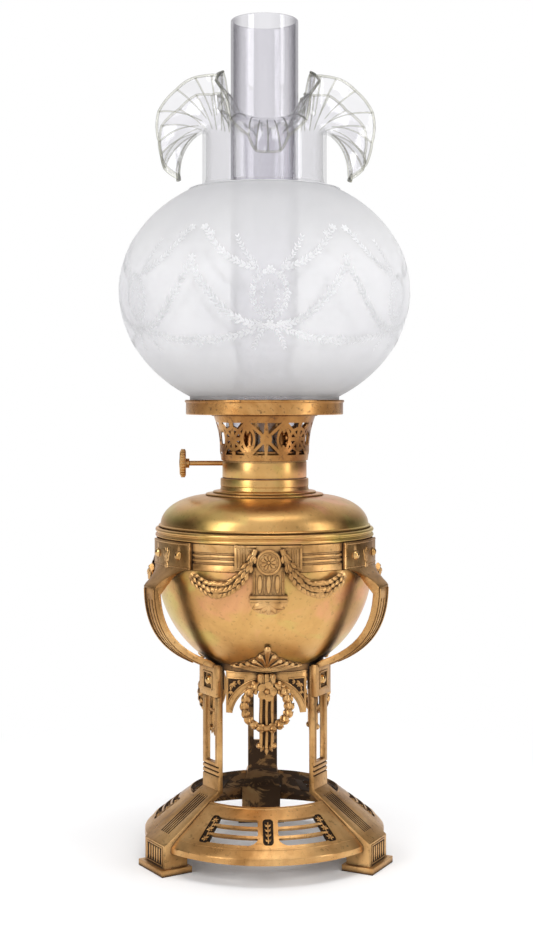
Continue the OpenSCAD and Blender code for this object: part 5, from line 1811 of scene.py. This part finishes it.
def metal_at(u, h):
    """Positive where the basket's sheet is left. u counts the eight windows."""
    unit = math.floor(u)
    x = (u - unit - 0.5) * 2 * math.pi * DRAWN_AT / BAYS
    y = h - 14.6
    half = math.pi * DRAWN_AT / BAYS
    from_middle = math.hypot(x, y)
    rim = max(4.0 - h, h - 25.6)
    posts = max(bar_at(x, y, sx * half, sy * 5, sx * half, sy * 11, 0.9) for sx, sy in CORNERS)
    slants = max(bar_at(x, y, sx * 2.6, sy * 2.6, sx * 10.8, sy * 10.8, 1.0) for sx, sy in CORNERS)
    eyes = min(1.2 - abs(math.hypot((abs(x) - half) * 1.9, y) - 7.6) * 0.8, 4.0)
    if unit % 2:
        cross = max(bar_at(x, y, 0, -11, 0, 11, 1.5), bar_at(x, y, -7, 0, 7, 0, 1.2))
        inside = max(1.0 - abs(from_middle - 7.2), cross, 2.9 - from_middle)
    else:
        inside = max(3.9 - from_middle, bar_at(x, y, 0, -11, 0, 11, 1.9 - 0.1 * abs(y)))
    return max(rim, posts, inside, slants, eyes)


def on_basket(share, height):
    a = 2 * math.pi * share - math.radians(112.5)
    h = height * BASKET_H
    r = basket_at(h) - 0.02
    return r * math.cos(a), r * math.sin(a), BASKET_LOW + h


print("basket from", round(BASKET_LOW, 1), "to", round(BASKET_TOP, 1))


# %% Pierced basket: sheet, flange and foot bead
basket = pierced(lambda u, v: metal_at(BAYS * u, BASKET_H * v), 520, 66, on_basket, BASKET_WALL)
flange = turned(
    [(MOUTH_R - BASKET_WALL, BASKET_TOP - BASKET_WALL), (MOUTH_R + 1.6, BASKET_TOP - BASKET_WALL)]
    + oval(MOUTH_R + 1.6, BASKET_TOP - 0.4, 0.4, 0.4, -90, 90, 6) + [(MOUTH_R - BASKET_WALL, BASKET_TOP)], 144)
foot_bead = turned([(BASKET_R - 0.4, BASKET_LOW + 0.05)]
                   + oval(BASKET_R + 0.05, BASKET_LOW + 0.9, 0.5, 0.8, -80, 80, 8)
                   + [(BASKET_R - 0.4, BASKET_LOW + 1.8)], 144)
finish_piece("gallery_basket_pierced", joined(basket, flange, foot_bead), copper_brass, "gallery",
             ["gallery_basket"], 40)


# %% Shade ring and chimney holder
RING_LOW = low_of("shade_ring")
RING_TOP = top_of("shade_ring")
RING_R = reach_of("shade_ring") - 0.8
ring_outline = (
    [(MOUTH_R - 1.8, RING_LOW), (RING_R - 1.3, RING_LOW)]
    + oval(RING_R - 0.8, RING_LOW + 0.8, 0.8, 0.8, -80, 0, 5)
    + [(RING_R, RING_TOP - 2.6)]
    + oval(RING_R + 0.05, RING_TOP - 1.0, 0.75, 0.95, -85, 95, 9)
    + [(RING_R - 1.4, RING_TOP - 0.1), (RING_R - 1.5, RING_TOP - 0.5), (RING_R - 1.5, RING_LOW + 1.5),
       (MOUTH_R - 1.8, RING_LOW + 1.5)]
)
finish_piece("shade_ring_spun", turned(ring_outline, 192), copper_brass, "gallery",
             ["shade_ring"], 30)
finish_piece("chimney_holder_sheet", softened("chimney_holder", 0.12), copper_brass, "gallery",
             ["chimney_holder"])


# %% [markdown]
# ## Glass
#
# The chimney is a tube with a pinch. The shade is one blown piece: frosted
# globe, clear neck, and a rim that was crimped while hot into four deep
# folds with fine pleats. All of it is one wall section, carried round the
# axis, where the section itself changes with the angle. A cosine of four
# times the angle leans the rim in and out, which gives the folds. The pleats
# are a zigzag that is laid over them and grows towards the edge.

# %% Chimney
CHIM_LOW = low_of("chimney")
CHIM_TOP = top_of("chimney")
CHIM_WALL = 1.8
# (height above the foot, outer radius), with the pinch at 56 mm
KEY_RADII = [(0, 26.0), (32, 26.0), (42, 24.5), (48, 21.5), (53, 19.1), (56, 18.5), (61, 19.3), (70, 22.0),
             (78, 23.0), (90, 23.0), (CHIM_TOP - CHIM_LOW, 23.0)]


def chimney_at(h):
    """Radius of the chimney's outer face, an even curve through the CAD sizes."""
    for (h0, r0), (h1, r1) in zip(KEY_RADII, KEY_RADII[1:]):
        if h <= h1:
            t = (h - h0) / (h1 - h0)
            return r0 + (r1 - r0) * (t if abs(r1 - r0) > 1.2 else t * t * (3 - 2 * t))
    return KEY_RADII[-1][1]


heights = list(np.linspace(0, 96, 65)) + list(np.linspace(110, CHIM_TOP - CHIM_LOW - CHIM_WALL / 2, 12))
radii = [chimney_at(h) for h in heights]
for _ in range(2):
    radii = [radii[0]] + [(a + 2 * b + c) / 4 for a, b, c in zip(radii, radii[1:], radii[2:])] + [radii[-1]]
half_wall = CHIM_WALL / 2
chimney_outline = [(r, CHIM_LOW + h) for h, r in zip(heights, radii)]
chimney_outline += oval(radii[-1] - half_wall, CHIM_TOP - half_wall, half_wall, half_wall, 15, 165, 7)
chimney_outline += [(r - CHIM_WALL, CHIM_LOW + h) for h, r in reversed(list(zip(heights, radii)))]
finish_piece("chimney_blown", turned(chimney_outline, 128), chimney_glass, "chimney",
             ["chimney"], 40)


# %% Shade: sizes and the ruffle's fold
SHADE_LOW = low_of("shade")
NECK_TOP = 487.463
SHADE_WALL = 2.5
SHADE_R = reach_of("shade") - 0.2
FOOT_R = 50.7
NECK_R = 42.3
LOW_H = 83.0
HIGH_H = 80.0
GLOBE_Z = SHADE_LOW + 10.5 + LOW_H * math.sqrt(1 - (FOOT_R / SHADE_R) ** 2)
RUFFLE_L = 30.5
RUFFLE_T = 1.6
PLEATS = 32
PLEAT_DEEP = 2.3


def lean_of(a):
    """Lean of the ruffle from upright, in degrees, at an angle round the axis."""
    fold = 75 * (1 + math.cos(4 * a)) * (1 - (0.62 if math.sin(a) > 0 else 0.13) * math.sin(a) ** 6)
    return 5 + fold


def ruffle_smooth(a, u):
    """The middle of the glass at a share u of the way out, before pleating."""
    b = math.radians(lean_of(a) * (0.75 + 0.25 * u))
    lean = lean_of(a)
    reach = RUFFLE_L * (1 + 0.16 * (lean / 150) ** 3 + 0.13 * math.sin(math.radians(lean))) * u
    r = NECK_R - SHADE_WALL / 2 + reach * math.sin(b)
    return Vector((r * math.cos(a), r * math.sin(a), NECK_TOP + 2 + reach * math.cos(b)))


print("ruffle leans from", round(lean_of(math.pi / 4), 1), "to", round(lean_of(0.0), 1), "degrees")


# %% Shade: pleats and the wall section
def ruffle_at(a, u, lift=0.0):
    """(point, normal) on the pleated ruffle; the pleats deepen towards the rim."""
    e = 0.004
    along = ruffle_smooth(a, u + 0.01) - ruffle_smooth(a, max(0.0, u - 0.01))
    across = ruffle_smooth(a + e, max(u, 0.05)) - ruffle_smooth(a - e, max(u, 0.05))
    normal = across.cross(along).normalized()
    turn = PLEATS * a / (2 * math.pi)
    zigzag = 4 * abs(turn - math.floor(turn + 0.5)) - 1
    crimp = PLEAT_DEEP * zigzag * min(1.0, u * 1.15) ** 1.3
    return ruffle_smooth(a, u) + normal * (crimp + lift), normal


def wall_section(a):
    """The glass wall at an angle: outer face up, rounded rim, inner face down."""
    a0 = math.acos(FOOT_R / SHADE_R)
    a1 = math.acos(NECK_R / SHADE_R)

    def up(inset):
        rise = [(FOOT_R - inset, SHADE_LOW)]
        rise += [((SHADE_R - inset) * math.cos(t), GLOBE_Z + (LOW_H - inset) * math.sin(t))
                 for t in np.linspace(-a0, 0, 20)]
        rise += [((SHADE_R - inset) * math.cos(t), GLOBE_Z + (HIGH_H - inset) * math.sin(t))
                 for t in np.linspace(0, a1, 20)[1:]]
        rise += [(NECK_R - inset, NECK_TOP - 30), (NECK_R - inset, NECK_TOP - 12), (NECK_R - inset, NECK_TOP)]
        return [Vector((r * math.cos(a), r * math.sin(a), z)) for r, z in rise]

    def ruffle(side):
        """One face of the ruffle; the glass is half as thick at the very edge."""
        shares = [k / 12 for k in range(13)]
        return [ruffle_at(a, u, side * RUFFLE_T / 2 * (1 - 0.5 * (u == 1)))[0] for u in shares]

    return up(0) + ruffle(1) + ruffle(-1)[::-1] + up(SHADE_WALL)[::-1]


print("points in one wall section:", len(wall_section(0.0)))


# %% Shade: glass and rim
SHADE_STEPS = 12 * PLEATS


def round_the_axis(j):
    return 2 * math.pi * j / SHADE_STEPS


def rib_width(t):
    return 0.3 + 0.35 * t


def rim_mesh():
    """The thick fire-polished rim, and the ribs where the crimping tool bit."""
    rim = [ruffle_at(round_the_axis(j), 1.0)[0] for j in range(SHADE_STEPS + 1)]
    parts = [swept(rim, 0.9, 0.9, 8, lambda p: (p.x, p.y, 4 * (p.z / MM - 480) * MM))]
    for k in range(2 * PLEATS):
        a = math.pi * k / PLEATS
        fold = [ruffle_at(a, u)[0] for u in np.linspace(0.16, 0.99, 14)]
        parts.append(swept(fold, rib_width, rib_width, 6, lambda p: (p.x, p.y, 0.01)))
    return joined(*parts)


sections = [wall_section(round_the_axis(j)) for j in range(SHADE_STEPS)]
finish_piece("shade_blown", skinned(sections, True), globe_glass, "shade", ["shade"], 24)
finish_piece("shade_rim", rim_mesh(), rim_glass, "shade", angle=60)


# %% [markdown]
# ## Etched garlands on the globe
#
# The frost carries a clear-cut pattern of flower garlands. Seen from outside
# it is a little paler and smoother than the frost. Flat leaves and flowers,
# a tenth of a millimetre high, are set along swags and rings with the same
# tree as the brass leaves.

# %% Etched pattern
def on_globe(degrees, z, lift=0.03):
    """(point, outwards, up along the glass) on the globe at an angle and height."""
    high = HIGH_H if z > GLOBE_Z else LOW_H
    share = (z - GLOBE_Z) / high
    r = SHADE_R * math.sqrt(max(0.0, 1 - share * share))
    a = math.radians(degrees)
    out = Vector((r / SHADE_R ** 2 * math.cos(a), r / SHADE_R ** 2 * math.sin(a), share / high)).normalized()
    east = Vector((-math.sin(a), math.cos(a), 0))
    point = Vector((r * math.cos(a), r * math.sin(a), z)) + out * lift
    return point, out, east.cross(out)


SWAY = 28


def vine(line, size):
    """Leaves that swing from side to side along a line of (degrees, height)."""
    spots = []
    places = [on_globe(d, z) for d, z in line]
    for i in range(1, len(places) - 1):
        point, out, _ = places[i]
        ahead = (places[i + 1][0] - places[i - 1][0]).normalized()
        side = out.cross(ahead).normalized()
        for way in (-1, 1):
            turn = math.radians(way * SWAY * (1.7 if i % 2 else 1.1))
            along = ahead * math.cos(turn) + side * math.sin(turn)
            spots.append((point, out, along, size * (0.85 + 0.15 * math.cos(i * 2.1))))
    return spots


def circle(degrees, z, wide, tall, size, count):
    """Leaves round an oval wreath."""
    line = [(degrees + wide * math.sin(w), z + tall * math.cos(w)) for w in np.linspace(0, 2 * math.pi, count)]
    return vine(line, size)


def between(a, b, sag, size, count):
    """Leaves along a garland that hangs between two (degrees, height) ends."""
    line = [(a[0] + (b[0] - a[0]) * t, a[1] + (b[1] - a[1]) * t - 4 * sag * t * (1 - t))
            for t in np.linspace(0, 1, count)]
    return vine(line, size)


print("globe: widest at", round(GLOBE_Z, 1), "mm, frosted up to", FROST_TOP, "mm")


# %% Etched pattern: six bays
# All in degrees from the bay's middle and millimetres above the globe's widest
# place. Garlands: both ends, sag, leaf size, leaves. Blossoms: place and size.
ETCHED_BAYS = 6
CIRCLES = [(-8, 6.2, 14, 0.75, 40), (-10, 3.0, 9, 0.5, 20)]
GARLANDS = [((2, -26), (30, 13), 12, 1.0, 30), ((3, -27), (30, -35), 3.5, 0.95, 24),
            ((3, 8), (27, 36), 7, 0.85, 26), ((4, 9), (13, 30), 3, 0.65, 14), ((1, -27), (7, -42), -1, 0.7, 10)]
SIDE_BLOSSOMS = [(3.5, -27, 1.0), (24, -36, 1.15), (27, 35, 1.1), (23, 31, 0.8)]
MIDDLE_BLOSSOMS = [(0, -27, 1.3), (0, 7, 1.0), (30, 15, 1.3), (30, -37, 1.3)]
etch_spots = []
blossoms = []
for bay in range(ETCHED_BAYS):
    turn = -90 + 360 / ETCHED_BAYS * bay
    for z, wide, tall, size, count in CIRCLES:
        etch_spots += circle(turn, GLOBE_Z + z, wide, tall, size, count)
    for side in (-1, 1):
        for (d0, z0), (d1, z1), sag, size, count in GARLANDS:
            ends = (turn + d0 * side, GLOBE_Z + z0), (turn + d1 * side, GLOBE_Z + z1)
            etch_spots += between(*ends, sag, size, count)
        blossoms += [(turn + degrees * side, z, size) for degrees, z, size in SIDE_BLOSSOMS]
    blossoms += [(turn + degrees, z, size) for degrees, z, size in MIDDLE_BLOSSOMS]
etch_flowers = [(*on_globe(degrees, GLOBE_Z + z), size) for degrees, z, size in blossoms]
# A thin pale ring along the frost's upper edge: a painted highlight
frost_edge = [on_globe(degrees, FROST_TOP - 1.0, 0.05)[0] for degrees in range(0, 361, 3)]
highlight_ring = swept(frost_edge, 0.12, 0.8, 6, lambda p: (p.x, p.y, p.z / 9))
etch_mesh = joined(highlight_ring, repeated(etch_spots, leaf(4.5, 1.7, 0.09), 8, 0.15, 41),
                   repeated(etch_flowers, flower(6, 2.5, 1.4, 0.09), 30, 0.1, 42))
finish_piece("shade_etching", etch_mesh, etched_glass, "shade", angle=50)


# %% [markdown]
# ## Pieces kept from the CAD model
#
# The tubes, spindle, wheels and washer are hardly seen, and their shape in
# the CAD model is the real one. They only get their finish.

# %% Finishes of the kept pieces
KEPT = {
    burner_brass: ("burner_thread", "air_plate", "wick_tube", "draught_tube", "wick_spindle", "wick_wheels"),
    wick_cotton: ("wick",),
    washer_leather: ("sealing_washer",),
    stud_brass: ("leg_studs", "arm_studs", "leg_nuts", "arm_nuts"),
}
for finish, names in KEPT.items():
    for name in names:
        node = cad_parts[name]
        if not node.material_slots:
            node.data.materials.append(None)
        for place in node.material_slots:
            place.link = "OBJECT"
            place.material = finish
print("kept:", sum(len(names) for names in KEPT.values()), "pieces")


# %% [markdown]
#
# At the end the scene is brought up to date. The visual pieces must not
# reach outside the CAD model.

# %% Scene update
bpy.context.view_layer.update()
